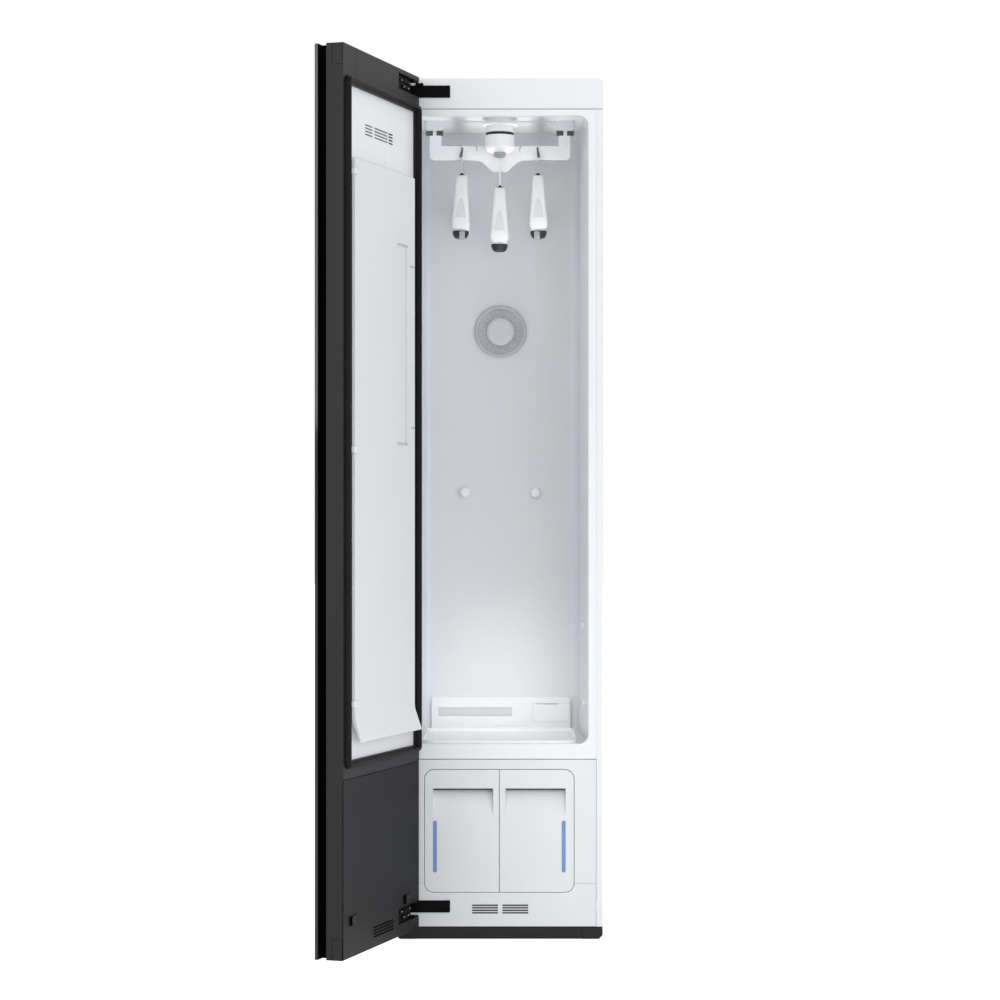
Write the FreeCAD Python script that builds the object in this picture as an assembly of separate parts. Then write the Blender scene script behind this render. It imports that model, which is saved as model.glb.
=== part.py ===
import FreeCAD
import Part
import os
from math import cos, pi, radians, sin, tan

# A narrow clothes care steam cabinet, in millimetres.
# +X is to the right as the user faces it, the front looks along -Y and +Z is up.
# The origin is on the floor, at the centre between the four levelling feet.
# The door stands open. It is built shut and then swung about its hinge pins.

V = FreeCAD.Vector

# ---- driving dimensions: the whole cabinet -------------------------------------------
width = 445.0
height = 1850.0
depth = 585.0               # over the shut door
door_thickness = 61.0
door_gap = 12.0             # from the cabinet's face to the shut door, filled by the seal
door_rest = 107.7           # how far the door stands open, in degrees
door_bottom = 29.0
door_top_gap = 3.0          # the door ends this far below the cabinet's top

# ---- walls, sheets and fits ----------------------------------------------------------
sheet = 1.0                 # steel panels
wall = 3.0                  # vacuum-formed liner and moulded panels
thin_wall = 2.5             # small mouldings
fit = 0.3                   # between pieces that pass or sit beside each other
running = 0.1               # round a pin or a shaft
seam = 1.2                  # shadow gaps that show between the outer panels
reveal = 0.7                # beside the side panels' returns

# ---- levels of the front, from the floor up ------------------------------------------
plinth_top = 28.0
lower_panel_top = 120.6
surround_top = 388.0
mouth_bottom = 420.0
cap_height = 66.5           # the moulded top
lip_height = 13.5           # the liner's edge between the mouth and the top

# ---- the garment space ---------------------------------------------------------------
side_wall = 30.9            # from the cabinet's side to the mouth
mouth_corner = 21.0
return_width = 14.0         # the side panels' returns beside the liner's face frame
lip_depth = 22.0
ceiling_step = 22.0         # the ceiling stands this far above the mouth
floor_step = 4.0
cavity_depth = 410.0
cavity_draft = 12.0         # each side draws in by this towards the back
cavity_corner = 20.0

# ---- worked out ----------------------------------------------------------------------
body_depth = depth - door_gap - door_thickness
half = width / 2
mouth_half = half - side_wall
frame_half = half - return_width
front = -body_depth / 2
back = body_depth / 2
cap_bottom = height - cap_height
mouth_top = cap_bottom - lip_height
ceiling = mouth_top + ceiling_step
floor_top = mouth_bottom - floor_step
lip_back = front + lip_depth
rear_wall = front + cavity_depth
rear_half = mouth_half - cavity_draft

# ---- hinges --------------------------------------------------------------------------
hinge_inset = 19.5          # pin to the cabinet's side
hinge_depth = 27.5          # pin to the door's inner face
pin_radius = 4.0
hinge_leaf = 116.8          # length of the plate on the cabinet's face
hinge_leaf_height = 26.0
hinge_leaf_thick = 3.0
hinge_arm_half = 9.0
hinge_arm_thick = 4.0
upper_hinge_drop = 29.0     # below the cabinet's top
lower_hinge_level = 71.5
pocket_length = 127.0
pocket_half_height = 17.0
pocket_reach = 14.0         # the deep part ends this far past the pin
pocket_room = 21.5          # and goes this far into the door behind it
pocket_shallow = 8.0
pocket_depth = hinge_depth + pocket_room
upper_hinge_level = height - upper_hinge_drop
pivot_x = -half + hinge_inset
pivot_y = front - door_gap - hinge_depth

# ---- door ----------------------------------------------------------------------------
glass_thick = 7.0
grip_width = 18.0           # the full-height groove behind the glass
grip_depth = 25.0
door_panel_thick = 2.0
seal_lap = 6.9              # the seal's inner edge outside the mouth
seal_width = 15.0
seal_thick = 11.5
seal_bevel = 5.0
door_liner_thick = 3.0
door_liner_recess = 5.0     # from the door's inner face to its white panel
lower_cover_top = 386.0
seal_inner_half = mouth_half + seal_lap
door_top = height - door_top_gap
door_inner = front - door_gap
door_front = door_inner - door_thickness

# ---- press plate on the door ---------------------------------------------------------
press_left_room = 26.0      # inside the seal, on the free side
press_right_room = 21.0     # and on the hinged side
press_bottom = 459.0
press_top_drop = 145.0      # below the mouth's top
press_thick = 6.0
press_gap = 2.0
lip_rise = 46.0             # height of the flared bottom edge
lip_out = 16.0
press_pin_radius = 2.5
press_pin_inset = 3.0
press_notch_half = 8.0
press_lug_half = 6.0
press_left = press_left_room - seal_inner_half
press_right = seal_inner_half - press_right_room
press_top = mouth_top - press_top_drop

# ---- moving hanger bar ---------------------------------------------------------------
bar_end_room = 22.6         # from the bar's end to the rear corner's side
bar_thick = 12.0
bar_arm_width = 26.0
bar_top_drop = 54.8         # below the ceiling
bar_height = 32.0
bar_dip = 26.5              # how far the middle dips, with its half widths above and below
dip_top = 43.0
dip_low = 15.0
arm_top_drop = 32.3
neck_inset = 11.0           # from the bar's end to the middle of a neck
neck_width = 8.0
neck_thick = 7.0
shake = 13.0                # to each side
guide_boss_drop = 21.0
guide_plate_drop = 31.0
rod_radius = 4.0
rod_level = 14.0            # above the ceiling
rod_spacing = 52.0
hanger_rear_room = 23.0     # behind a side hanger's end
hanger_front_room = 40.0    # in front of the middle hanger's end
middle_offset = 43.0        # the middle hanger hangs this far before the bar
hanger_half = (cavity_depth - hanger_rear_room - hanger_front_room - middle_offset) / 2
bar_y = rear_wall - hanger_rear_room - hanger_half
bar_half_length = rear_half - bar_end_room
neck_x = bar_half_length - neck_inset
bar_top = ceiling - bar_top_drop
bar_bottom = bar_top - bar_height
arm_top = ceiling - arm_top_drop
crank_y = bar_y + 40.0
rod_z = ceiling + rod_level

# ---- hangers -------------------------------------------------------------------------
hanger_x = 85.0
hanger_drop = 124.0         # from the neck to the end of the front shoulder
shoulder_rise = 17.0        # the rear shoulder ends this much higher than the front one
hanger_neck = 64.8          # top of the bar down to the neck of a side hanger
wire_radius = 1.7
hook_inner = 14.0

# ---- turning middle hook -------------------------------------------------------------
flange_radius = 40.0
flange_drop = 17.0          # underside of the flange below the ceiling
flange_thick = 3.5
sleeve_drop = 32.0          # lower end of the flange's sleeve
sleeve_radius = 29.0
neck_radius = 31.0
cup_radius = 32.3
cup_top_drop = 38.0
cup_bottom_drop = 75.7
collar_radius = 13.3
collar_height = 9.7
collar_slot_half = 4.5
collar_slot_reach = 8.5     # to the front and to the back
eye_radius = 2.0
eye_drop = 7.8              # the cross pin below the cup
middle_neck_drop = 69.0     # the cross pin down to the middle hanger's neck
twist_y = bar_y - middle_offset
cup_bottom = ceiling - cup_bottom_drop
eye_z = cup_bottom - eye_drop

# ---- water tanks ---------------------------------------------------------------------
tank_margin = 62.5          # from the cabinet's side to the tanks
tank_bottom = 102.0
tank_top = 365.0
tank_corner = 20.0
tank_gap = 1.2              # round the pair and between the two
tank_depth = 215.0
tank_inset = 3.0            # the containers' sides, inside their fascias' outline
fascia_thick = 3.0
fascia_rim = 8.0
scoop_side = 17.4           # from a tank's outer side to its handle recess
scoop_inner = 13.3          # from the centre line to it
scoop_drop = 40.4           # from the tanks' top down to the grip
scoop_height = 57.1
scoop_depth = 22.0
window_width = 8.6
window_rise = 42.0          # from the tanks' bottom up to the level window
window_height = 111.7
bay_side_room = 3.5
bay_rear_room = 7.0
bay_top_room = 16.0
tanks_half = half - tank_margin
scoop_outer = tanks_half - scoop_side
scoop_top = tank_top - scoop_drop
scoop_bottom = scoop_top - scoop_height
window_bottom = tank_bottom + window_rise
window_top = window_bottom + window_height
bay_half = tanks_half + bay_side_room
bay_depth = tank_depth + bay_rear_room
bay_top = tank_top + bay_top_room
bay_bottom = tank_bottom - tank_gap
bay_rear = front + wall + fit + bay_depth


# ---- shapes --------------------------------------------------------------------------

def block(x, y, z):
    """A box between low and high values along each axis."""
    return Part.makeBox(x[1] - x[0], y[1] - y[0], z[1] - z[0], V(x[0], y[0], z[0]))


def point(plane, a, b, level):
    """A point given by two coordinates in a plane and its level across it."""
    if plane == "xy":
        return V(a, b, level)
    if plane == "xz":
        return V(a, level, b)
    return V(level, a, b)


def disc(plane, centre, radius, span):
    """A cylinder across a plane, between two levels."""
    start = point(plane, centre[0], centre[1], span[0])
    return Part.makeCylinder(radius, span[1] - span[0], start, point(plane, 0, 0, 1))


def bent(points, radii, closed):
    """A wire through the points, with an arc at each corner that has a radius."""
    count = len(points)
    edges = []
    ends = []
    for i in range(count):
        here = points[i]
        radius = radii[i]
        if radius <= 0 or (not closed and i in (0, count - 1)):
            ends.append((here, here))
            continue
        before = (points[i - 1] - here).normalize()
        after = (points[(i + 1) % count] - here).normalize()
        opening = before.getAngle(after) / 2
        reach = radius / tan(opening)
        middle = here + (before + after).normalize() * (radius / sin(opening) - radius)
        start, end = here + before * reach, here + after * reach
        edges.append((i, Part.Arc(start, middle, end).toShape()))
        ends.append((start, end))
    arcs = dict(edges)
    ordered = []
    for i in range(count):
        if i in arcs:
            ordered.append(arcs[i])
        if closed or i < count - 1:
            a, b = ends[i][1], ends[(i + 1) % count][0]
            if (b - a).Length > 1e-6:
                ordered.append(Part.LineSegment(a, b).toShape())
    return Part.Wire(ordered)


def plate(plane, points, span, radii=0.0):
    """A flat piece: an outline in a plane, with rounded corners, between two levels."""
    if not isinstance(radii, (list, tuple)):
        radii = [radii] * len(points)
    outline = bent([point(plane, a, b, span[0]) for a, b in points], radii, True)
    return Part.Face(outline).extrude(point(plane, 0, 0, span[1] - span[0]))


def rect(a0, a1, b0, b1):
    """The corners of a rectangle, counter-clockwise."""
    return [(a0, b0), (a1, b0), (a1, b1), (a0, b1)]


def sweep(points, radii, radius):
    """A wire or pipe with eight flats along a path with rounded corners, starting upwards."""
    flats = 8
    corner = radius / cos(pi / flats)
    turns = [2 * pi * (i + 0.5) / flats for i in range(flats)]
    ring = [points[0] + V(corner * cos(turn), corner * sin(turn), 0) for turn in turns]
    section = Part.makePolygon(ring + ring[:1])
    return Part.Wire(bent(points, radii, False).Edges).makePipeShell([section], True, False)


def turned(profile, centre, axis):
    """A solid of revolution: (radius, height) pairs turned about an axis through a centre."""
    if axis == "z":
        corners = [centre + V(r, 0, h) for r, h in profile]
        spin = V(0, 0, 1)
    else:
        corners = [centre + V(r, h, 0) for r, h in profile]
        spin = V(0, 1, 0)
    face = Part.Face(Part.makePolygon(corners + corners[:1]))
    return face.revolve(centre, spin, 360)


def joined(shapes):
    """One solid from shapes that overlap or share faces."""
    whole = shapes[0].multiFuse(shapes[1:]) if len(shapes) > 1 else shapes[0]
    return whole.removeSplitter()


def picked(shape, chosen):
    """The edges for which chosen, given an edge's middle and its extent, is true."""
    boxes = [(edge, edge.BoundBox) for edge in shape.Edges]
    return [edge for edge, box in boxes
            if chosen(box.Center, V(box.XLength, box.YLength, box.ZLength))]


def softened(shape, radius, chosen):
    """The shape with the chosen edges rounded."""
    return shape.makeFillet(radius, picked(shape, chosen))


def bevelled(shape, size, chosen):
    """The shape with the chosen edges cut at 45 degrees."""
    return shape.makeChamfer(size, picked(shape, chosen))


def near(a, b):
    """Whether two lengths are the same."""
    return abs(a - b) < 0.01


def mirrored(shape):
    """The shape reflected from left to right."""
    return shape.mirror(V(0, 0, 0), V(1, 0, 0))


# ---- outer case ----------------------------------------------------------------------

def side_panel():
    """The right-hand steel side, with a return at the front and one at the back."""
    rear = back - sheet
    levels = (plinth_top, cap_bottom)
    outer = plate("xy", rect(frame_half, half, front, rear), levels, [0, 2.0, 1.5, 0])
    inner = plate("xy", rect(frame_half - 1, half - sheet, front + sheet, rear - sheet), levels,
                  [0, 1.0, 0.5, 0])
    return outer.cut(inner)


def top_cover():
    """The moulded top, open underneath, with rounded shoulders and a shadow gap round its foot."""
    outer = plate("xz", rect(-half, half, cap_bottom, height), (front, back), [0, 0, 12.0, 12.0])
    outer = softened(outer, 3.0, lambda m, d: near(m.y, front) and m.z > cap_bottom + 1)
    hollow = plate("xz", rect(-half + thin_wall, half - thin_wall, cap_bottom - 1,
                              height - thin_wall),
                   (front + thin_wall, back - thin_wall), [0, 0, 10.0, 10.0])
    groove = block((-half - 1, half + 1), (front - 1, back + 1), (cap_bottom - 1, cap_bottom + seam))
    groove = groove.cut(block((seam - half, half - seam), (front + seam, back - seam),
                              (cap_bottom - 2, cap_bottom + seam + 1)))
    return outer.cut(hollow).cut(groove)


vent_rows = 9
vent_pitch = 12.0
vent_bottom = 210.0
vent_length = 90.0
vent_height = 4.0
vent_x = 95.0
inlet_x = -150.0
inlet_z = 78.0
inlet_radius = 9.0
cable_radius = 4.2


def back_panel():
    """The steel back, with vent slots for the machine space and a hole for the mains inlet."""
    panel = plate("xz", rect(-half + 1.5, half - 1.5, plinth_top + fit, cap_bottom - fit),
                  (back - sheet, back), 3.0)
    slots = []
    for x in (-vent_x, vent_x):
        for row in range(vent_rows):
            z = vent_bottom + row * vent_pitch
            slots.append(block((x - vent_length / 2, x + vent_length / 2), (back - 2, back + 1),
                               (z, z + vent_height)))
    slots.append(disc("xz", (inlet_x, inlet_z), inlet_radius, (back - 2, back + 1)))
    return panel.cut(Part.Compound(slots))


foot_inset = (37.5, 41.0)   # from the case's sides and from its front and back
foot_x = half - foot_inset[0]
foot_y = back - foot_inset[1]
stud_radius = 5.0
pad_radius = 18.0
pad_thick = 9.0
deck_thick = 3.0
skirt_bottom = 6.0
kick_depth = 16.0


def base_pan():
    """The black base: a deck inside low walls, on a skirt, with a block over each foot."""
    y = (front + kick_depth + fit, back - sheet - fit)
    skirt = block((-half, half), y, (skirt_bottom, plinth_top))
    hollow = block((-half + wall, half - wall), (y[0] + wall, y[1] - wall),
                   (skirt_bottom - 1, plinth_top - deck_thick))
    pieces = [skirt.cut(hollow)]
    rim_half = half - sheet - fit
    rim = block((-rim_half, rim_half), (y[0], y[1] - sheet - fit), (plinth_top - 1, plinth_top + 32))
    inside = block((-rim_half + wall, rim_half - wall), (y[0] + wall, y[1] - sheet - fit - wall),
                   (plinth_top - 2, plinth_top + 33))
    pieces.append(rim.cut(inside))
    for x in (-foot_x, foot_x):
        for foot in (-foot_y, foot_y):
            pieces.append(block((x - 14, x + 14), (foot - 14, foot + 14),
                                (pad_thick + 2.0, plinth_top - 1)))
    pan = joined(pieces)
    holes = [disc("xy", (x, foot), stud_radius + running, (0, plinth_top + 10))
             for x in (-foot_x, foot_x) for foot in (-foot_y, foot_y)]
    return pan.cut(Part.Compound(holes))


def levelling_feet():
    """Four round pads on threaded studs, each with a hexagonal neck to turn it by."""
    feet = []
    hexagon = [(9.0 * cos(radians(60 * i)), 9.0 * sin(radians(60 * i))) for i in range(6)]
    for x in (-foot_x, foot_x):
        for y in (-foot_y, foot_y):
            pad = turned([(0, 0), (pad_radius, 0), (pad_radius, 3), (pad_radius - 4, 6), (0, 6)],
                         V(x, y, 0), "z")
            neck = plate("xy", [(x + a, y + b) for a, b in hexagon], (5.5, pad_thick))
            stud = disc("xy", (x, y), stud_radius, (pad_thick - 1, plinth_top + 8))
            feet.append(joined([pad, neck, stud]))
    return Part.Compound(feet)


kick_end = 43.0
kick_cap = 3.0              # how far the taller block stands before the cabinet's face
kick_cap_rise = 5.3
kick_bottom = 1.5


def kick_plate():
    """The black plinth strip, with a block at each end; the one by the hinge is a little taller."""
    kick_half = half - 1.5
    levels = (kick_bottom, plinth_top - fit)
    strip = block((-kick_half, kick_half), (front + 1.5, front + kick_depth), levels)
    strip = strip.cut(block((-kick_half + kick_end, kick_half - kick_end),
                            (front + 1.5 + wall, front + kick_depth + 1),
                            (kick_bottom + wall, plinth_top - fit - wall)))
    ends = []
    for side in (-1, 1):
        inner, outer = side * (kick_half - kick_end), side * kick_half
        corners = [(inner, levels[0]), (outer - side * 7.0, levels[0]), (outer, levels[0] + 7.0),
                   (outer, levels[1]), (inner, levels[1])]
        ends.append(plate("xz", corners, (front - 0.5, front + kick_depth)))
    ends.append(block((-kick_half, kick_end - kick_half), (front - kick_cap, front - fit),
                      (levels[1] - 8, levels[1] + kick_cap_rise)))
    corner_cut = plate("xz", [(kick_half - 7.0, 0), (kick_half + 1, 0),
                              (kick_half + 1, levels[0] + 8.0), (kick_half, levels[0] + 7.0),
                              (kick_half - 7.0, levels[0])], (front - 1, front + kick_depth + 1))
    corner_cut = Part.Compound([corner_cut, mirrored(corner_cut)])
    return joined([strip.cut(corner_cut)] + ends)


# ---- liner ---------------------------------------------------------------------------

outlet_drop = 435.5         # below the mouth's top
outlet_hole = 48.0
outlet_hub = 30.5           # radius of the bezel's hole
outlet_slots = 24
outlet_z = mouth_top - outlet_drop
duct_x = (-54.0, 54.0)
duct_y = (rear_wall + wall + fit, back - 2 * sheet - 6)
nozzle_x = 3.0
nozzle_y = rear_wall - 23.0
cover_side_room = 21.6      # beside the low cover on the back wall
cover_half = rear_half - cover_side_room
cover_top = mouth_bottom + 74.0
cover_depth = 14.0
louvre_left = 14.4 - cover_half
louvre_width = 171.0
louvre_shares = (0, 0.325, 0.55, 0.766, 1)   # where its dividers stand
louvre_rows = 5
louvre_x = (louvre_left, louvre_left + louvre_width)
louvre_z = (mouth_bottom + 30.4, mouth_bottom + 51.3)
holder_width = 85.0
holder_x = (cover_half + 1 - holder_width, cover_half + 1)
holder_z = (mouth_bottom + 17.5, mouth_bottom + 59.5)


def cavity(grow):
    """The garment space behind the lip, grown outwards by a wall."""
    start = lip_back - grow
    plan = [(-mouth_half - grow, start), (mouth_half + grow, start),
            (rear_half + grow, rear_wall + grow), (-rear_half - grow, rear_wall + grow)]
    return plate("xy", plan, (floor_top - grow, ceiling + grow),
                 [0, 0, cavity_corner + grow, cavity_corner + grow])


def mouth(grow, start):
    """The opening through the lip, grown outwards by a wall."""
    return plate("xz", rect(-mouth_half - grow, mouth_half + grow, mouth_bottom - grow,
                            mouth_top + grow), (start, lip_back + 1), mouth_corner + grow)


def inner_liner():
    """The vacuum-formed liner with its face frame, guide bosses and openings."""
    face = block((-frame_half + fit, frame_half - fit), (front, front + wall),
                 (surround_top + fit, cap_bottom - fit))
    bosses = [plate("xy", rect(x - 22, x + 22, bar_y - 17, bar_y + 17),
                    (ceiling - guide_boss_drop, ceiling + 1), 8.0) for x in (-neck_x, neck_x)]
    shell = joined([face, cavity(wall), mouth(wall, front)])
    shell = shell.cut(joined([cavity(0), mouth(0, front - 1)]))
    shell = joined([shell] + bosses)
    reach = neck_width / 2 + shake + 0.5
    holes = [block((x - reach, x + reach), (bar_y - 4.5, bar_y + 4.5),
                   (ceiling - guide_boss_drop - 1, ceiling + wall + 1)) for x in (-neck_x, neck_x)]
    holes.append(disc("xy", (0, twist_y), 25.0, (ceiling - 1, ceiling + wall + 1)))
    holes.append(disc("xz", (0, outlet_z), outlet_hole, (rear_wall - 1, rear_wall + wall + 1)))
    holes.append(disc("xy", (nozzle_x, nozzle_y), 8.0, (floor_top - wall - 1, floor_top + 1)))
    behind = (rear_wall - 1, rear_wall + wall + 1)
    holes.append(block((louvre_x[0], louvre_x[1]), behind, (louvre_z[0] - 6, louvre_z[1] + 6)))
    holes.append(block((holder_x[0] + 3, holder_x[1] - 3), behind,
                       (holder_z[0] + 3, holder_z[1] - 3)))
    return shell.cut(Part.Compound(holes))


def wall_insulation():
    """Foam at both sides of the liner and behind it, clear of the air duct."""
    levels = (surround_top + 8, cap_bottom - 1)
    y = (front + wall + 1, rear_wall)
    side = plate("xy", [(mouth_half + wall + fit, y[0]), (half - sheet - fit, y[0]),
                        (half - sheet - fit, y[1]), (rear_half + wall + fit + 0.4, y[1]),
                        (mouth_half + wall + fit, lip_back)], levels)
    rear = block((duct_x[1] + 6.0, half - sheet - fit),
                 (rear_wall + wall + fit + 0.2, back - 2 * sheet - fit),
                 (holder_z[1] + 60.0, cap_bottom - 1))
    return Part.Compound([side, mirrored(side), rear, mirrored(rear)])


def outlet_ring():
    """The round bezel of the air outlet in the back wall, with radial slots inside its rim."""
    profile = [(outlet_hub, -4.0), (50.0, -4.0), (53.0, -10.0), (58.0, -10.0), (60.0, -7.0), (60.0, 0.0),
               (47.0, 0.0), (47.0, 6.0), (45.0, 6.0), (45.0, -1.5), (outlet_hub, -1.5)]
    centre = V(0, rear_wall, outlet_z)
    slots = []
    for i in range(outlet_slots):
        slot = block((34.0, 44.5), (rear_wall - 5, rear_wall - 1), (outlet_z - 1.1, outlet_z + 1.1))
        slot.rotate(centre, V(0, 1, 0), 360 / outlet_slots * i)
        slots.append(slot)
    return turned(profile, centre, "y").cut(Part.Compound(slots))


def outlet_disc():
    """The domed centre of the air outlet, set into the bezel's hole."""
    spigot = outlet_hub - fit
    return turned([(0, -12.0), (26.0, -12.0), (32.2, -8.0), (32.2, -4.0), (spigot, -4.0),
                   (spigot, -1.5), (0, -1.5)], V(0, rear_wall, outlet_z), "y")


peg_x = 80.0
peg_z = 964.0


def shelf_pegs():
    """Two round pegs on the back wall, each with a narrow collar at its root."""
    profile = [(0, -26.0), (8.5, -26.0), (11.0, -23.5), (11.0, -2.5), (12.5, -2.5), (12.5, 0), (0, 0)]
    return Part.Compound([turned(profile, V(x, rear_wall, peg_z), "y") for x in (-peg_x, peg_x)])


clip_places = ((160.0, 249.0), (120.0, 80.0))   # behind the face, above the mouth's bottom
clip_stand = 8.0


def side_wall_at(y):
    """How far from the centre line the garment space's side wall is, at a depth."""
    return mouth_half - cavity_draft * (y - lip_back) / (rear_wall - lip_back)


def shelf_clips():
    """Small rests on the side walls for a loose shelf."""
    clips = []
    for depth_in, rise in clip_places:
        y = front + depth_in
        z = mouth_bottom + rise
        clip = plate("yz", rect(y - 9, y + 9, z - 7, z + 7),
                     (side_wall_at(y) - clip_stand, mouth_half), 5.0).common(cavity(0))
        clips += [clip.Solids[0], mirrored(clip.Solids[0])]
    return Part.Compound(clips)


def rear_duct_cover():
    """The low cover on the back wall, with its louvre and the holder's opening."""
    y = (rear_wall - cover_depth, rear_wall - fit)
    outer = plate("xz", rect(-cover_half, cover_half + 3, floor_top + fit, cover_top), y,
                  [0, 0, 6.0, 6.0])
    hollow = block((-cover_half + thin_wall, cover_half + 3 - thin_wall),
                   (y[0] + thin_wall, y[1] + 1), (floor_top + fit + thin_wall, cover_top - thin_wall))
    cover = outer.cut(hollow)
    columns = [louvre_left + louvre_width * share for share in louvre_shares]
    pitch = (louvre_z[1] - louvre_z[0]) / louvre_rows
    cuts = []
    for left, right in zip(columns, columns[1:]):
        for row in range(louvre_rows):
            z = louvre_z[0] + row * pitch
            cuts.append(block((left + 0.8, right - 0.8), (y[0] - 1, y[0] + wall), (z + 0.7, z + 3.1)))
    cuts.append(block((holder_x[0] - fit, holder_x[1] + fit), (y[0] - 1, y[0] + wall),
                      (holder_z[0] - fit, holder_z[1] + fit)))
    return cover.cut(Part.Compound(cuts))


def aroma_holder():
    """The little drawer beside the louvre, with a finger notch on its face."""
    y = rear_wall - cover_depth
    face = plate("xz", rect(holder_x[0], holder_x[1], holder_z[0], holder_z[1]), (y, y + wall), 2.0)
    x = (holder_x[0] + 4, holder_x[1] - 4)
    z = (holder_z[0] + 4, holder_z[1] - 4)
    tray = block(x, (y + wall - 0.5, y + 50), z)
    tray = tray.cut(block((x[0] + 2, x[1] - 2), (y + wall + 2, y + 48), (z[0] + 2, z[1] + 1)))
    notch = plate("xz", rect(holder_x[0] + 28, holder_x[1] - 28, holder_z[1] - 9, holder_z[1] + 1),
                  (y - 1, y + 1.6), [4, 4, 0, 0])
    return joined([face, tray]).cut(notch)


def floor_tray():
    """The loose drip tray on the floor of the garment space."""
    y = (lip_back + 4, nozzle_y - 10)
    level = floor_top + fit
    side = rear_half - 11.6
    dish = plate("xy", rect(-side, side, y[0], y[1]), (level, level + 9.0), 26.0)
    hollow = plate("xy", rect(wall - side, side - wall, y[0] + wall, y[1] - wall),
                   (level + 2.5, level + 10), 26.0 - wall)
    return dish.cut(hollow)


def steam_nozzle():
    """The low hood over the steam outlet, on a stub that passes through the floor."""
    hood = plate("xz", rect(nozzle_x - 21, nozzle_x + 21, floor_top + fit, floor_top + 13),
                 (nozzle_y - 7, nozzle_y + 6), [0, 0, 8.0, 8.0])
    mouth_cut = block((nozzle_x - 15, nozzle_x + 15), (nozzle_y - 8, nozzle_y + 3),
                      (floor_top + 2.5, floor_top + 8))
    stub = disc("xy", (nozzle_x, nozzle_y), 6.5, (floor_top - 16, floor_top + 1))
    bore = disc("xy", (nozzle_x, nozzle_y), 4.0, (floor_top - 17, floor_top + 4))
    return joined([hood.cut(mouth_cut), stub]).cut(bore)


# ---- lower front ---------------------------------------------------------------------

def tank_outline(grow, y):
    """The rounded outline round both tanks, grown outwards."""
    return plate("xz", rect(-tanks_half - grow, tanks_half + grow, tank_bottom - grow,
                            tank_top + grow), y, tank_corner + grow)


def tank_surround():
    """The moulded front round the tanks, below the garment space."""
    panel = block((-frame_half + reveal, frame_half - reveal), (front, front + wall),
                  (lower_panel_top + 0.2, surround_top - seam))
    top_return = block((-frame_half + reveal, frame_half - reveal), (front, front + 12),
                       (surround_top - seam - thin_wall, surround_top - seam))
    return joined([panel, top_return]).cut(tank_outline(tank_gap, (front - 1, front + 13)))


def lower_front_panel():
    """The panel under the tanks, with two blocks of vent slots."""
    panel = block((-frame_half + reveal, frame_half - reveal), (front, front + wall),
                  (plinth_top + fit, lower_panel_top - 0.2))
    bottom = block((-frame_half + reveal, frame_half - reveal), (front, front + kick_depth),
                   (plinth_top + fit, plinth_top + fit + thin_wall))
    cuts = [tank_outline(tank_gap, (front - 1, front + kick_depth + 1))]
    for left in (-58.4, 6.7):
        for row in range(4):
            z = 56.2 + row * 5.4
            cuts.append(block((left, left + 55.2), (front - 1, front + wall + 1), (z, z + 2.6)))
    return joined([panel, bottom]).cut(Part.Compound(cuts))


def hinge_hole_cover():
    """The blank cap on the right, where the lower hinge goes when the door is rehung."""
    z = (61.0, 87.0)
    return plate("xz", rect(frame_half - 0.5, half - 1.0, z[0], z[1]), (front - 1.5, front), 2.0)


def tank_bay():
    """The moulded bay that the two tanks slide in, with a low rib between them."""
    y = (front + wall + fit, front + wall + fit + bay_depth)
    outer = block((-bay_half - thin_wall, bay_half + thin_wall), y,
                  (bay_bottom - thin_wall, bay_top + thin_wall))
    inner = block((-bay_half, bay_half), (y[0] - 1, y[1] - thin_wall), (bay_bottom, bay_top))
    rib = block((-1.2, 1.2), (y[0] + 20, y[1] - 1), (bay_bottom - 1, bay_bottom + 48))
    valves = [disc("xz", (x, bay_bottom + 30), 9.0, (y[1] - 1, y[1] + 14)) for x in (-80, 80)]
    return joined([outer.cut(inner), rib] + valves)


def tank(side):
    """One tank's container, open on top, with the rib that fills the level window."""
    x = sorted((side * 3.5, side * (tanks_half - tank_inset)))
    low, high = tank_bottom + 4, tank_top - 20
    knee = scoop_bottom - 15.5
    face, rear, step = front + 9, front + tank_depth, front + scoop_depth + 6
    profile = [(face, low), (rear, low), (rear, high), (step, high), (step, knee + 12), (face, knee)]
    hollow = [(face + thin_wall, low + thin_wall), (rear - thin_wall, low + thin_wall),
              (rear - thin_wall, high + 1), (step + thin_wall, high + 1),
              (step + thin_wall, knee + 10.7), (face + thin_wall, knee - 1.3)]
    reach = (front, front + tank_depth + 1)
    shell = plate("yz", profile, x, [6, 6, 0, 0, 6, 6]).common(tank_outline(-tank_inset, reach))
    inside = plate("yz", hollow, (x[0] + thin_wall, x[1] - thin_wall), [4, 4, 0, 0, 6, 6])
    shell = shell.cut(inside.common(tank_outline(-tank_inset - thin_wall, reach)))
    rail = block((x[0] + 20, x[1] - 20), (front + 20, rear - 10),
                 (bay_bottom + fit, low + 1))
    edge = side * scoop_outer
    wx = (min(edge, edge - side * window_width) + fit, max(edge, edge - side * window_width) - fit)
    rib = plate("xz", rect(wx[0], wx[1], window_bottom + fit, window_top - fit),
                (front + 0.6, face + thin_wall - 0.5), window_width / 2 - fit - 0.05)
    centre = side * 80.0
    lugs = [block((centre - 18, centre + 18), (front + fascia_thick, face + 1), (low + 18, low + 24)),
            block((centre - 18, centre + 18), (front + fascia_thick, step + 1), (high - 7, high - 2))]
    return joined([shell, rail, rib] + lugs)


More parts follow.
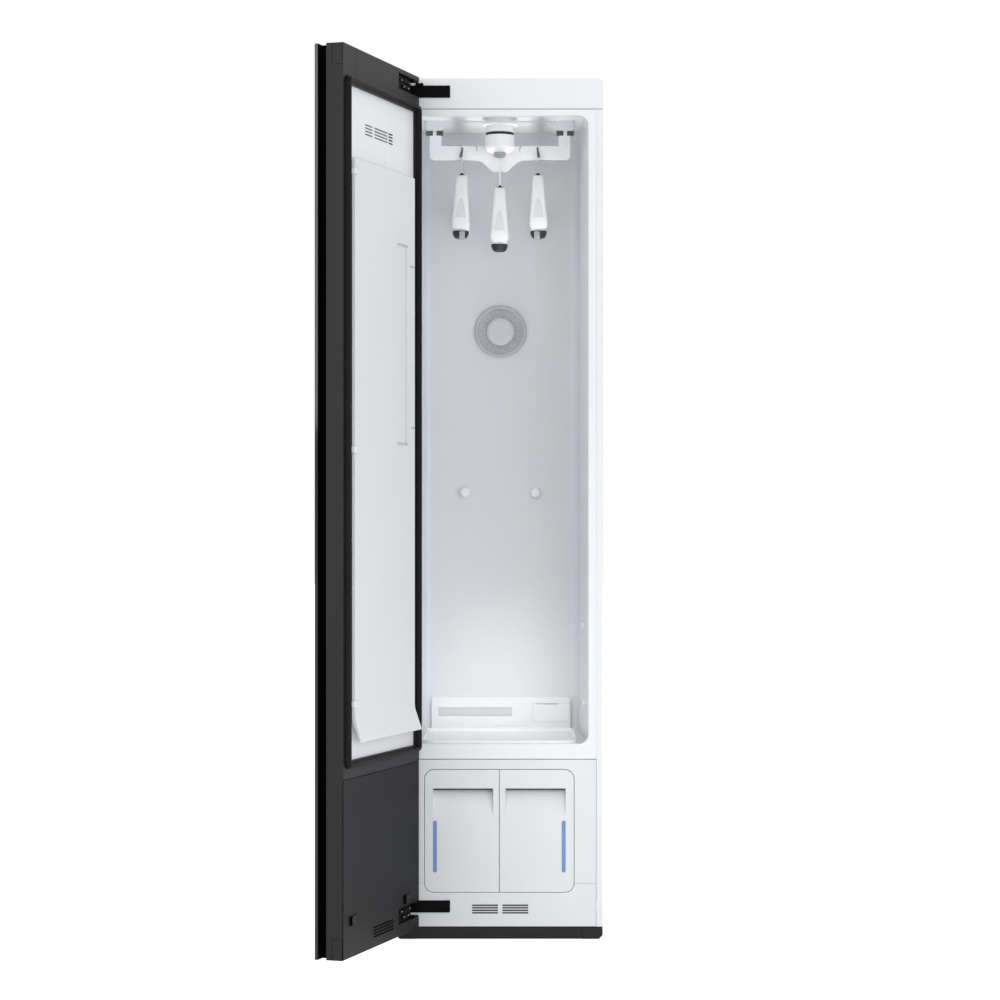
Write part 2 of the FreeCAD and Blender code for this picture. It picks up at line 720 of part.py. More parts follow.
def tank_front(side):
    """One tank's fascia, with its sloping handle recess and the level window's slot."""
    whole = tank_outline(0, (front, front + fascia_rim))
    hollow = tank_outline(-thin_wall, (front + fascia_thick, front + fascia_rim + 1))
    edge = tank_gap / 2
    cut_x = (edge, tanks_half + 1) if side > 0 else (-tanks_half - 1, -edge)
    part = whole.common(block(cut_x, (front - 1, front + 30), (0, 500)))
    inner_x = (edge + thin_wall, tanks_half) if side > 0 else (-tanks_half, -edge - thin_wall)
    part = part.cut(hollow.common(block(inner_x, (front - 1, front + 30), (0, 500))))
    edges = sorted((side * scoop_inner, side * scoop_outer))
    outer = [(front + 1, scoop_bottom - 6), (front + scoop_depth + 3, scoop_top - 8),
             (front + scoop_depth + 3, scoop_top + 11), (front + 1, scoop_top + 11)]
    inner = [(front - 1, scoop_bottom - 2), (front, scoop_bottom), (front + scoop_depth, scoop_top - 6),
             (front + scoop_depth, scoop_top + 8), (front + 5, scoop_top + 8),
             (front + 5, scoop_top), (front - 1, scoop_top)]
    shell = plate("yz", outer, (edges[0] - thin_wall, edges[1] + thin_wall), [0, 6, 3, 0])
    void = plate("yz", inner, tuple(edges), [0, 0, 5, 3, 0, 0, 0])
    edge = side * scoop_outer
    wx = sorted((edge, edge - side * window_width))
    slot = plate("xz", rect(wx[0], wx[1], window_bottom, window_top), (front - 1, front + 40),
                 window_width / 2 - 0.05)
    return joined([part, shell]).cut(void).cut(slot)


# ---- machine space -------------------------------------------------------------------

deck = plinth_top
compressor_x = half - 104.5
bottle_offset = 80.0        # the suction bottle beside the compressor
bottle_radius = 17.0
bend_reach = 9.0            # the exchangers' return bends, outside their end plates


def compressor():
    """The hermetic compressor on its foot plate, with its suction bottle."""
    x, y = compressor_x, back - 106.0
    can = turned([(0, 13), (48, 13), (60, 28), (60, 180), (48, 195), (0, 202)], V(x, y, deck), "z")
    foot = block((x - 62, x + 62), (y - 62, y + 62), (deck + 11, deck + 14))
    feet = [block((x + a - 9, x + a + 9), (y + b - 9, y + b + 9), (deck, deck + 12))
            for a in (-50, 50) for b in (-50, 50)]
    bottle_x = x - bottle_offset
    bottle = turned([(0, 36), (bottle_radius, 48), (bottle_radius, 160), (0, 172)],
                    V(bottle_x, y + 18, deck), "z")
    links = [block((bottle_x, x - 30), (y + 12, y + 24), (z, z + 8)) for z in (deck + 60, deck + 140)]
    terminal = block((x - 16, x + 16), (y - 76, y - 50), (deck + 90, deck + 140))
    return joined([can, foot, bottle, terminal] + feet + links)


def heat_exchangers():
    """The evaporator and the condenser: fins between end plates, with return bends outside."""
    blocks = []
    x = (bend_reach + 8.5 - half, compressor_x - bottle_offset - bottle_radius - bend_reach - 3)
    fins_in_row = 12
    pitch = (x[1] - x[0]) / (fins_in_row + 1)
    for y in (bay_rear + 50.7, bay_rear + 116.7):
        ends = [block((end, end + 3), (y, y + 50), (deck, deck + 152)) for end in (x[0], x[1] - 3)]
        rails = [block(x, (y + 5, y + 45), (z, z + 4)) for z in (deck + 8, deck + 144)]
        fins = [block((x[0] + i * pitch, x[0] + i * pitch + 1.6), (y + 1, y + 49),
                      (deck + 8, deck + 148)) for i in range(1, fins_in_row + 1)]
        bends = [block((end, end + bend_reach + 1), (y + 9, y + 41), (deck + z, deck + z + 8))
                 for end in (x[0] - bend_reach, x[1] - 1) for z in (31, 58, 85, 112)]
        blocks.append(joined(ends + rails + fins + bends))
    return Part.Compound(blocks)


duct_bottom = surround_top + 20.0
fan_x = -40.0
fan_z = 290.0
fan_y = (duct_y[0] + 14.7, duct_y[1] - 22.0)
wheel_radius = 60.0
blade_count = 16


def blower_housing():
    """The scroll round the blower wheel, opening upwards into the air duct."""
    tongue = wheel_radius + 6.0
    growth = 8.0                # what each quarter turn of the scroll stands further out

    def scroll(grow, y):
        reach = [tongue + grow + growth * turn for turn in range(4)]
        corners = [V(fan_x + reach[0], y[0], fan_z), V(fan_x, y[0], fan_z - reach[1]),
                   V(fan_x - reach[2], y[0], fan_z), V(fan_x, y[0], fan_z + reach[3])]
        edges = []
        for turn, (start, end) in enumerate(zip(corners, corners[1:])):
            angle = radians(45 + 90 * turn)
            r = (reach[turn] + reach[turn + 1]) / 2
            middle = V(fan_x + r * cos(angle), y[0], fan_z - r * sin(angle))
            edges.append(Part.Arc(start, middle, end).toShape())
        top = V(corners[0].x, y[0], corners[3].z)
        edges += [Part.LineSegment(corners[3], top).toShape(),
                  Part.LineSegment(top, corners[0]).toShape()]
        body = Part.Face(Part.Wire(edges)).extrude(V(0, y[1] - y[0], 0))
        throat = block((fan_x - 8 - grow, corners[0].x), y, (fan_z, duct_bottom))
        return joined([body, throat])

    outer = scroll(thin_wall, (fan_y[0] - thin_wall, fan_y[1] + thin_wall))
    flange = block(duct_x, duct_y, (duct_bottom - 3, duct_bottom))
    inner = scroll(0, fan_y)
    top = block((fan_x - 8, fan_x + wheel_radius + 6), fan_y, (duct_bottom - 10, duct_bottom + 1))
    eye = disc("xz", (fan_x, fan_z), 38.0, (fan_y[1] - 1, fan_y[1] + 10))
    shaft = disc("xz", (fan_x, fan_z), 9.0, (fan_y[0] - 10, fan_y[0] + 1))
    return joined([outer, flange]).cut(Part.Compound([inner])).cut(top).cut(eye).cut(shaft)


def blower_motor():
    """The fan motor on the scroll's front wall, with a bore for the wheel's shaft."""
    y = (fan_y[0] - thin_wall - 46, fan_y[0] - thin_wall)
    can = turned([(0, y[0]), (33, y[0]), (38, y[0] + 5), (38, y[1]), (0, y[1])],
                 V(fan_x, 0, fan_z), "y")
    flange = disc("xz", (fan_x, fan_z), 48.0, (y[1] - 4, y[1]))
    bore = disc("xz", (fan_x, fan_z), 4.0 + running, (y[1] - 34, y[1] + 1))
    return joined([can, flange]).cut(bore)


def blower_wheel():
    """The forward-curved wheel: a back plate, an end ring and blades, on its shaft."""
    y = (fan_y[0] + 4, fan_y[1] - 4)
    plate_disc = disc("xz", (fan_x, fan_z), wheel_radius, (y[0], y[0] + 2.5))
    hub = disc("xz", (fan_x, fan_z), 11.0, (y[0], y[0] + 20))
    shaft = disc("xz", (fan_x, fan_z), 4.0, (y[0] - 36, y[0] + 5))
    ring = disc("xz", (fan_x, fan_z), wheel_radius, (y[1] - 4, y[1]))
    ring = ring.cut(disc("xz", (fan_x, fan_z), wheel_radius - 10, (y[1] - 5, y[1] + 1)))
    blades = []
    for i in range(blade_count):
        blade = block((fan_x + wheel_radius - 10, fan_x + wheel_radius - 0.4),
                      (y[0] + 1, y[1] - 1), (fan_z - 0.8, fan_z + 0.8))
        blade.rotate(V(fan_x + wheel_radius - 0.4, 0, fan_z), V(0, 1, 0), 28)
        blade.rotate(V(fan_x, 0, fan_z), V(0, 1, 0), 360 / blade_count * i)
        blades.append(blade)
    return joined([plate_disc, hub, shaft, ring] + blades)


def air_duct():
    """The flat duct behind the liner, from the scroll up to the round outlet."""
    z = (duct_bottom, outlet_z + 70)
    outer = block(duct_x, duct_y, z)
    inner = block((duct_x[0] + 2, duct_x[1] - 2), (duct_y[0] + 2, duct_y[1] - 2), (z[0] - 1, z[1] - 2))
    hole = disc("xz", (0, outlet_z), outlet_hole, (duct_y[0] - 1, duct_y[0] + 3))
    return outer.cut(inner).cut(hole)


def steam_generator():
    """The boiler on the back of the tank bay, with its steam stub on top."""
    y = (bay_rear, bay_rear + 52)
    tank_body = plate("xz", rect(-205, -60, 215, 300), y, 10.0)
    lid = block((-208, -57), (y[0], y[1] + 3), (262, 270))
    stub = disc("xy", (-90, y[0] + 26), 7.5, (299, 318))
    inlet = disc("xy", (-185, y[0] + 26), 5.0, (299, 312))
    return joined([tank_body, lid, stub, inlet])


def steam_hose():
    """The short hose from the boiler's stub to the nozzle under the floor."""
    start = V(-90, bay_rear + 26, 318)
    end = V(nozzle_x, nozzle_y, floor_top - 16)
    level = (start.z + end.z) / 2
    points = [start, V(start.x, start.y, level), V(end.x, end.y, level), end]
    return sweep(points, [0, 18, 18, 0], 6.5)


def water_pumps():
    """A supply pump and a drain pump, on brackets on the deck."""
    pumps = []
    for x in (-150.0, 95.0):
        y = bay_rear + 14
        barrel = disc("yz", (y + 10, deck + 62), 17.0, (x - 32, x + 32))
        head = disc("yz", (y + 10, deck + 62), 20.0, (x + 18, x + 34))
        bracket = block((x - 22, x + 12), (y - 4, y + 24), (deck, deck + 50))
        pumps.append(joined([barrel, head, bracket]))
    return Part.Compound(pumps)


def control_board():
    """The closed box of the control board, on the back of the tank bay."""
    case = plate("xz", rect(45, 205, 200, 350), (bay_rear, bay_rear + 30), 6.0)
    rim = plate("xz", rect(41, 209, 196, 354), (bay_rear, bay_rear + 4), 8.0)
    plugs = [block((60 + i * 24, 78 + i * 24), (bay_rear + 8, bay_rear + 20), (190, 202))
             for i in range(5)]
    return joined([case, rim] + plugs)


def power_inlet():
    """The mains cable gland on the back panel."""
    body = inlet_radius - fit
    return turned([(cable_radius, -12), (body, -12), (body, 0), (14.0, 0), (14.0, 4), (8, 16),
                   (cable_radius, 16)], V(inlet_x, back, inlet_z), "y")


# ---- hinges --------------------------------------------------------------------------

def hinge_bracket(level):
    """A cranked bracket: a plate on the cabinet's face, an arm and the upright pin."""
    z = (level - hinge_leaf_height / 2, level + hinge_leaf_height / 2)
    leaf = plate("xz", rect(-half + 1, -half + hinge_leaf, z[0], z[1]),
                 (front - hinge_leaf_thick, front), [0, 2.0, 2.0, 0])
    arm_z = (level - hinge_arm_thick / 2, level + hinge_arm_thick / 2)
    arm = block((pivot_x - hinge_arm_half, pivot_x + hinge_arm_half), (pivot_y, front - 1), arm_z)
    nose = disc("xy", (pivot_x, pivot_y), hinge_arm_half, arm_z)
    knuckle = disc("xy", (pivot_x, pivot_y), hinge_arm_half - 1, (level - 7, level + 7))
    pin = disc("xy", (pivot_x, pivot_y), pin_radius,
               (level - pocket_half_height + fit, level + pocket_half_height - fit))
    return joined([leaf, arm, nose, knuckle, pin])


def hinge_pocket(level):
    """The room in the door for one bracket: shallow over the plate, deep round the pin."""
    z = (level - pocket_half_height, level + pocket_half_height)
    deep = block((-half - 1, pivot_x + pocket_reach), (door_inner - pocket_depth, door_inner + 1), z)
    shallow = block((-half - 1, -half + pocket_length), (door_inner - pocket_shallow, door_inner + 1), z)
    return joined([deep, shallow])


def door_hinge_plates():
    """The door's own bearing plates, above and below each bracket's arm."""
    plates = []
    for level in (upper_hinge_level, lower_hinge_level):
        for side in (-1, 1):
            edge = level + side * pocket_half_height
            z = (min(edge, edge - side * 3), max(edge, edge - side * 3))
            leaf = block((-half + 2, pivot_x + pocket_reach),
                         (door_inner - pocket_depth, door_inner - 1), z)
            leaf = leaf.cut(disc("xy", (pivot_x, pivot_y), pin_radius + running, (z[0] - 1, z[1] + 1)))
            plates.append(leaf)
    return Part.Compound(plates)


# ---- door, built shut ----------------------------------------------------------------

glass_back = door_front + glass_thick
cap_length = 43.0
cap_inset = 2.0
cap_band = 21.5
cap_thick = 5.0


def door_frame():
    """The foam-filled door body, with the grip groove, the hinge pockets and seats for the skins."""
    body = block((-half + 0.8, half - 0.8), (glass_back, door_inner), (door_bottom, door_top))
    cuts = [block((half - grip_depth, half + 1), (glass_back - 1, glass_back + grip_width),
                  (door_bottom - 1, door_top + 1))]
    for level in (upper_hinge_level, lower_hinge_level):
        cuts.append(hinge_pocket(level))
    cuts.append(block((-half - 1, half + 1), (door_inner - door_panel_thick, door_inner + 1),
                      (door_bottom - 1, lower_cover_top)))
    cuts.append(block((-seal_inner_half, seal_inner_half),
                      (door_inner - door_liner_recess - door_liner_thick, door_inner + 1),
                      (mouth_bottom + 2, mouth_top)))
    body = body.cut(joined(cuts))
    return body.cut(door_corner_caps())


def door_corner_caps():
    """The moulded corner inserts at the door's free edge."""
    y = (door_inner - cap_inset - cap_band, door_inner - cap_inset)
    x = (half - 0.8 - cap_thick, half - 0.8)
    return Part.Compound([block(x, y, (door_top - cap_length, door_top)),
                          block(x, y, (door_bottom, door_bottom + cap_length))])


def door_glass():
    """The tinted glass front of the door."""
    return plate("xy", rect(-half, half, door_front, glass_back), (door_bottom, door_top),
                 [2.0, 2.0, 0, 0])


scoop_places = (40.0, 352.0)    # the hoods' open ends, from the door's free edge
scoop_levels = (93.0, 112.0)


def door_lower_panel():
    """The dark cover low on the door's inner side, with vent slots and two small hoods."""
    panel = block((-half + 2, half - 2), (door_inner - door_panel_thick, door_inner),
                  (door_bottom + 1, lower_cover_top - 0.6))
    cuts = [hinge_pocket(lower_hinge_level)]
    for row in range(4):
        z = 50.0 + 6.2 * row
        cuts.append(block((-64.5, 52.5), (door_inner - 3, door_inner + 1), (z, z + 3.4)))
    hoods = []
    for place in scoop_places:
        x = half - place
        hoods.append(plate("xy", [(x, door_inner - 0.5), (x, door_inner + 5.0), (x - 3, door_inner + 5.0),
                                  (x - 42.0, door_inner - 0.5)], scoop_levels))
        cuts.append(block((x - 12, x + 1), (door_inner - 0.5, door_inner + 3.2),
                          (scoop_levels[0] + 1.5, scoop_levels[1] - 1.5)))
    return joined([panel] + hoods).cut(Part.Compound(cuts))


grille_x = (-73.8, 87.2)
grille_groove_end = -166.0  # faint grooves run on from the slots to here
grille_drop = 88.0          # below the mouth's top


def press_axis():
    """Where the press plate's hinge stands, seen from above."""
    return (press_right - press_pin_inset, door_inner + press_gap + press_thick / 2)


def press_levels():
    """The middle heights of the press plate's three hinges."""
    return (press_bottom + 75, (press_bottom + press_top) / 2, press_top - 27)


def door_liner():
    """The white inner panel, with a grille above and the lugs that carry the press plate."""
    face = door_inner - door_liner_recess
    panel = block((-seal_inner_half + fit, seal_inner_half - fit), (face - door_liner_thick, face),
                  (mouth_bottom + 2 + fit, mouth_top - fit))
    x, y = press_axis()
    lugs = []
    holes = []
    for z in press_levels():
        span = (z - press_lug_half, z + press_lug_half)
        lugs.append(block((x - 5, x + 5), (face - 1, y + 2.6), span))
        lugs.append(disc("xy", (x, y), 5.0, span))
        holes.append(disc("xy", (x, y), press_pin_radius + running, (span[0] - 1, span[1] + 1)))
    columns = 3
    step = (grille_x[1] - grille_x[0]) / columns
    for column in range(columns):
        for row in range(4):
            z = mouth_top - grille_drop + row * 6.4
            left = grille_x[0] + column * step
            holes.append(block((left + 1.2, left + step - 1.2), (face - 2, face + 1), (z, z + 3.2)))
            if column == 0:
                holes.append(block((grille_groove_end, left - 1.2), (face - 0.5, face + 1),
                                   (z + 0.6, z + 2.6)))
    return joined([panel] + lugs).cut(Part.Compound(holes))


def door_gasket():
    """The seal round the garment space, bevelled where it meets the cabinet."""
    outer_half = seal_inner_half + seal_width
    low, high = mouth_bottom + 2, mouth_top
    y = (door_inner, door_inner + seal_thick)
    outer = plate("xz", rect(-outer_half, outer_half, low - seal_width, high + seal_width), y, 12.0)
    inner = plate("xz", rect(-seal_inner_half, seal_inner_half, low, high), (y[0] - 1, y[1] + 1), 2.0)
    ring = outer.cut(inner)
    return bevelled(ring, seal_bevel, lambda m, d: near(m.y, y[1]) and near(d.y, 0))


def press_plate():
    """The panel that presses trousers against the door, with a flared lower lip."""
    inner = door_inner + press_gap
    outer = inner + press_thick
    profile = [(inner, press_top), (outer, press_top), (outer, press_bottom + lip_rise),
               (outer + lip_out, press_bottom), (outer + lip_out - 3.5, press_bottom - 1.2),
               (inner, press_bottom + lip_rise - 6)]
    leaf = plate("yz", profile, (press_left, press_right), [0, 2.5, 45, 0, 0, 45])
    x, y = press_axis()
    notches = [block((x - 8.5, press_right + 1), (inner - 1, outer + 1),
                     (z - press_notch_half, z + press_notch_half)) for z in press_levels()]
    pins = [disc("xy", (x, y), press_pin_radius, (z - press_notch_half - 1, z + press_notch_half + 1))
            for z in press_levels()]
    return joined([leaf.cut(Part.Compound(notches))] + pins)


# ---- hanger bar and its drive --------------------------------------------------------

def bar_guides():
    """The dark guide plates under the ceiling, open in front, and the pair of rods above it."""
    pieces = []
    reach = neck_width / 2 + shake + 0.5
    for x in (-neck_x, neck_x):
        slide = plate("xy", rect(x - 20, x + 20, bar_y - 14, bar_y + 14),
                      (ceiling - guide_plate_drop, ceiling - guide_boss_drop), 6.0)
        pieces.append(slide.cut(block((x - reach, x + reach), (bar_y - 15, bar_y + 4.5),
                                      (ceiling - 40, ceiling))))
    rod_ys = (crank_y - rod_spacing / 2, crank_y + rod_spacing / 2)
    rod_half = neck_x + 40
    rods = [disc("yz", (y, rod_z), rod_radius, (-rod_half, rod_half)) for y in rod_ys]
    posts = [block((x, x + 10), (rod_ys[0] - 8, rod_ys[1] + 8), (ceiling + wall, rod_z + 7))
             for x in (-rod_half, rod_half - 10)]
    pieces.append(joined(rods + posts))
    return Part.Compound(pieces)


def hanger_bar():
    """The moving bar with its dip, its two necks and the carriage above the ceiling."""
    edge = bar_half_length
    inner = edge - bar_arm_width
    outline = [(-edge, arm_top), (-edge, bar_bottom), (-dip_top, bar_bottom),
               (-dip_low, bar_bottom - bar_dip), (dip_low, bar_bottom - bar_dip),
               (dip_top, bar_bottom), (edge, bar_bottom), (edge, arm_top),
               (inner, arm_top), (inner, bar_top), (-inner, bar_top), (-inner, arm_top)]
    radii = [0, 11, 16, 14, 14, 16, 11, 0, 0, 0, 0, 0]
    bar = plate("xz", outline, (bar_y - bar_thick / 2, bar_y + bar_thick / 2), radii)
    bar = softened(bar, bar_thick / 2 - 0.3,
                   lambda m, d: near(m.z, bar_top) and d.x > 200 and near(d.y, 0))
    necks = [block((x - neck_width / 2, x + neck_width / 2), (bar_y - neck_thick / 2,
                                                            bar_y + neck_thick / 2),
                   (arm_top - 1, rod_z + 1)) for x in (-neck_x, neck_x)]
    rod_ys = (crank_y - rod_spacing / 2, crank_y + rod_spacing / 2)
    length = (-neck_x - 6, neck_x + 6)
    deck_z = (rod_z - 2, rod_z + 2)
    carriage = block(length, (bar_y - 6, rod_ys[1]), deck_z)
    tubes = [block(length, (y - 7, y + 7), (rod_z - 7, rod_z + 7)) for y in rod_ys]
    bores = [disc("yz", (y, rod_z), rod_radius + running, (length[0] - 1, length[1] + 1))
             for y in rod_ys]
    yoke_half = pin_radius + 3.1
    yoke = plate("xy", rect(-yoke_half, yoke_half, crank_y - shake - 4.6, crank_y + shake + 4.6),
                 (rod_z - 5, rod_z + 5), 2.0)
    return joined([bar, carriage] + necks + tubes).cut(Part.Compound(bores + [yoke]))


motor_plate_z = rod_z + 10.0


def shake_motor():
    """The motor over the carriage, on its cantilevered bracket."""
    y = (crank_y - 30, crank_y + 38)
    shelf = block((-32, 32), (y[0], y[1] + 8), (motor_plate_z, motor_plate_z + 3))
    legs = block((-32, 32), (y[1] + 2, y[1] + 8), (ceiling + wall, motor_plate_z + 1))
    case = disc("xy", (0, crank_y), 28.0, (motor_plate_z + 2, height - thin_wall - 2))
    bore = disc("xy", (0, crank_y), 4.0 + running, (motor_plate_z - 1, motor_plate_z + 16))
    return joined([shelf, legs, case]).cut(bore)


def shake_crank():
    """The crank disc on the motor's shaft, with the pin that runs in the carriage's yoke."""
    web = disc("xy", (0, crank_y), 18.0, (rod_z + 4, motor_plate_z - fit))
    shaft = disc("xy", (0, crank_y), 4.0, (motor_plate_z - 1, motor_plate_z + 15))
    pin = disc("xy", (0, crank_y + shake), pin_radius, (rod_z - 3, rod_z + 5))
    return joined([web, shaft, pin])


def twist_housing():
    """The white flange and sleeve under the ceiling and the rounded cup below them."""
    centre = V(0, twist_y, 0)
    low, level = ceiling - sleeve_drop, ceiling - flange_drop
    flange = turned([(sleeve_radius, ceiling), (26, ceiling), (26, low), (neck_radius, low),
                     (sleeve_radius, low + 8), (sleeve_radius, level), (flange_radius, level + 1),
                     (flange_radius, level + flange_thick), (sleeve_radius, level + flange_thick)],
                    centre, "z")
    cup_top = ceiling - cup_top_drop
    round_off = [(cup_radius - 14 * (1 - sin(radians(a))), cup_bottom + 14 * (1 - cos(radians(a))))
                 for a in (0, 30, 60, 90)]
    cup = turned([(0, cup_bottom)] + round_off + [(cup_radius, cup_top), (0, cup_top)], centre, "z")
    bore = disc("xy", (0, twist_y), 5.0 + running, (cup_bottom - 1, cup_bottom + 14))
    return Part.Compound([flange, cup.cut(bore)])


def twist_drive():
    """The gear motor above the ceiling and the black neck that carries the cup."""
    cup_top = ceiling - cup_top_drop
    low = ceiling - sleeve_drop
    neck = disc("xy", (0, twist_y), neck_radius, (cup_top, low - fit))
    stem = disc("xy", (0, twist_y), 24.5, (low - 1, ceiling + wall + 1))
    gear_case = disc("xy", (0, twist_y), 30.0, (ceiling + wall, height - thin_wall - 4))
    return joined([neck, stem, gear_case])


def twist_collar():
    """The tapered grey collar under the cup, slotted for the hook, with its cross pin."""
    low, high = cup_bottom - fit - collar_height, cup_bottom - fit
    collar = turned([(0, low), (collar_radius - 2.3, low), (collar_radius, high - 4), (collar_radius, high),
                     (0, high)], V(0, twist_y, 0), "z")
    slot = block((-collar_slot_half, collar_slot_half),
                 (twist_y - collar_slot_reach, twist_y + collar_slot_reach), (low - 1, high - 1))
    stem = disc("xy", (0, twist_y), 5.0, (high - 0.5, high + 12))
    pin = disc("yz", (twist_y, eye_z), eye_radius, (-9.0, 9.0))
    return joined([collar.cut(slot), stem, pin])


# ---- hangers -------------------------------------------------------------------------

def hanger_body(x, y, neck_z):
    """A thick moulded hanger along Y, with shoulders that fall and widen to the tips."""
    stations = ((0.0, 0.0, 38, 25), (0.25, 0.13, 38, 27), (0.5, 0.39, 36, 31), (0.75, 0.71, 30, 36),
                (0.93, 0.93, 24, 39), (1.0, 1.0, 19, 35))
    rows = [(-s[0], s[1], s[2], s[3]) for s in stations[:0:-1]] + list(stations)
    sections = []
    for share, drop, tall, wide in rows:
        fall = hanger_drop if share < 0 else hanger_drop - shoulder_rise
        middle = neck_z - fall * drop - tall / 2
        radius = min(tall, wide) * 0.42
        ring = []
        for turn in range(12):
            angle = radians(45 + 90 * (turn // 3) + 45 * (turn % 3 - 1))
            across = wide / 2 - radius if cos(radians(45 + 90 * (turn // 3))) > 0 else radius - wide / 2
            up = tall / 2 - radius if sin(radians(45 + 90 * (turn // 3))) > 0 else radius - tall / 2
            ring.append(V(x + across + radius * cos(angle), y + share * hanger_half,
                          middle + up + radius * sin(angle)))
        sections.append(Part.makePolygon(ring + ring[:1]))
    return Part.makeLoft(sections, True, True)


def hanger_hook(x, y, neck_z, centre_z, radius):
    """The bent wire hook over the bar or through the collar's pin."""
    top = centre_z + radius
    points = [V(x, y, neck_z - 4), V(x, y, neck_z + 9), V(x, y - radius, centre_z - radius - 6),
              V(x, y - radius, top), V(x, y + radius, top), V(x, y + radius, centre_z - radius * 0.6)]
    bend = min(6.0, radius)
    return sweep(points, [0, bend, bend, radius, radius, 0], wire_radius)


def hanger_fittings(x, y, neck_z, centre_z, radius, body):
    """The hook, its neck ring and the dark foot under the front end, seated on the hanger."""
    hook = hanger_hook(x, y, neck_z, centre_z, radius)
    ring = disc("xy", (x, y), 5.5, (neck_z - 3, neck_z + 5))
    base = V(x, y - hanger_half + 16, neck_z - hanger_drop - 33)
    foot = turned([(0, 0), (10, 0), (15, 3), (17, 8), (17, 26), (0, 26)], base, "z").cut(body)
    lowest = min(foot.Solids, key=lambda solid: solid.CenterOfMass.z)
    return Part.Compound([joined([hook, ring]).cut(body), lowest])


# ---- assembly ------------------------------------------------------------------------

side_neck = bar_top - hanger_neck
side_hook_z = bar_top + fit - hook_inner
side_hook = hook_inner + wire_radius
middle_neck = eye_z - middle_neck_drop
eye_hook = eye_radius + fit + wire_radius

liner = inner_liner()
right_side = side_panel()
left_hanger = hanger_body(-hanger_x, bar_y, side_neck)
right_hanger = hanger_body(hanger_x, bar_y, side_neck)
middle_hanger = hanger_body(0, twist_y, middle_neck)

cabinet = {
    "side_panel_left": mirrored(right_side),
    "side_panel_right": right_side,
    "top_cover": top_cover(),
    "back_panel": back_panel(),
    "base_pan": base_pan(),
    "kick_plate": kick_plate(),
    "levelling_feet": levelling_feet(),
    "inner_liner": liner,
    "wall_insulation": wall_insulation(),
    "tank_surround": tank_surround(),
    "tank_bay": tank_bay(),
    "lower_front_panel": lower_front_panel(),
    "upper_hinge_bracket": hinge_bracket(upper_hinge_level),
    "lower_hinge_bracket": hinge_bracket(lower_hinge_level),
    "hinge_hole_cover": hinge_hole_cover(),
    "outlet_ring": outlet_ring(),
    "outlet_disc": outlet_disc(),
    "shelf_pegs": shelf_pegs(),
    "shelf_clips": shelf_clips(),
    "rear_duct_cover": rear_duct_cover(),
    "steam_nozzle": steam_nozzle(),
    "floor_tray": floor_tray(),
    "bar_guides": bar_guides(),
    "twist_housing": twist_housing(),
    "twist_drive": twist_drive(),
    "shake_motor": shake_motor(),
    "compressor": compressor(),
    "heat_exchangers": heat_exchangers(),
    "blower_housing": blower_housing(),
    "blower_motor": blower_motor(),
    "air_duct": air_duct(),
    "steam_generator": steam_generator(),
    "steam_hose": steam_hose(),
    "water_pumps": water_pumps(),
    "control_board": control_board(),
    "power_inlet": power_inlet(),
    "hanger_bar": hanger_bar(),
    "shake_crank": shake_crank(),
    "twist_collar": twist_collar(),
    "hanger_left": left_hanger,
    "hanger_left_fittings": hanger_fittings(-hanger_x, bar_y, side_neck, side_hook_z, side_hook,
                                            left_hanger),
    "hanger_right": right_hanger,
    "hanger_right_fittings": hanger_fittings(hanger_x, bar_y, side_neck, side_hook_z, side_hook,
                                             right_hanger),
    "hanger_middle": middle_hanger,
    "hanger_middle_fittings": hanger_fittings(0, twist_y, middle_neck, eye_z, eye_hook,
                                              middle_hanger),
    "supply_tank": tank(-1),
    "supply_tank_front": tank_front(-1),
    "drain_tank": tank(1),
    "drain_tank_front": tank_front(1),
    "aroma_holder": aroma_holder(),
    "blower_wheel": blower_wheel(),
}

door = {
    "door_glass": door_glass(),
    "door_frame": door_frame(),
    "door_liner": door_liner(),
    "door_gasket": door_gasket(),
    "door_lower_panel": door_lower_panel(),
    "door_corner_caps": door_corner_caps(),
    "door_hinge_plates": door_hinge_plates(),
    "press_plate": press_plate(),
}

for shape in door.values():
    shape.rotate(V(pivot_x, pivot_y, 0), V(0, 0, -1), door_rest)

os.makedirs("parts", exist_ok=True)
for name, shape in {**cabinet, **door}.items():
    shape.exportStep("parts/" + name + ".step")
    print(name, len(shape.Solids), "valid" if shape.isValid() else "NOT VALID",
          round(sum(s.Volume for s in shape.Solids) / 1000, 1), "cm3")
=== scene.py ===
"""The looks of a narrow clothes care steam cabinet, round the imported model, whose frame is in metres.

Sizes in the sections below are in millimetres, and made() turns them to metres.
"""

import bmesh
import bpy
import numpy as np
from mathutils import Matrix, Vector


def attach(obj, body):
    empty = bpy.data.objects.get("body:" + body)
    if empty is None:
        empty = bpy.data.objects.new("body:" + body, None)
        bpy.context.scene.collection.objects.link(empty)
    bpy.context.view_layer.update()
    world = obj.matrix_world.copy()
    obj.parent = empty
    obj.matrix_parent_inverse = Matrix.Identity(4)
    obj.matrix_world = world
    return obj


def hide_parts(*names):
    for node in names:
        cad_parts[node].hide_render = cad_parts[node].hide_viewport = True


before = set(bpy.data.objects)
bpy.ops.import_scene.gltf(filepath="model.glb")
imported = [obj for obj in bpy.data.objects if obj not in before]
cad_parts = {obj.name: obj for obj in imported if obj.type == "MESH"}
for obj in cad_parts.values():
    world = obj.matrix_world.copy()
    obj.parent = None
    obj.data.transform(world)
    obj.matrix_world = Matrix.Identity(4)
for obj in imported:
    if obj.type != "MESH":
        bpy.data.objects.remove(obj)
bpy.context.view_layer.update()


# ---- View ----------------------------------------------------------------------------------------
# A level camera of long focal length, a little right of the cabinet's middle. The shift keeps the
# uprights upright, with the eye lower than the middle of the picture.

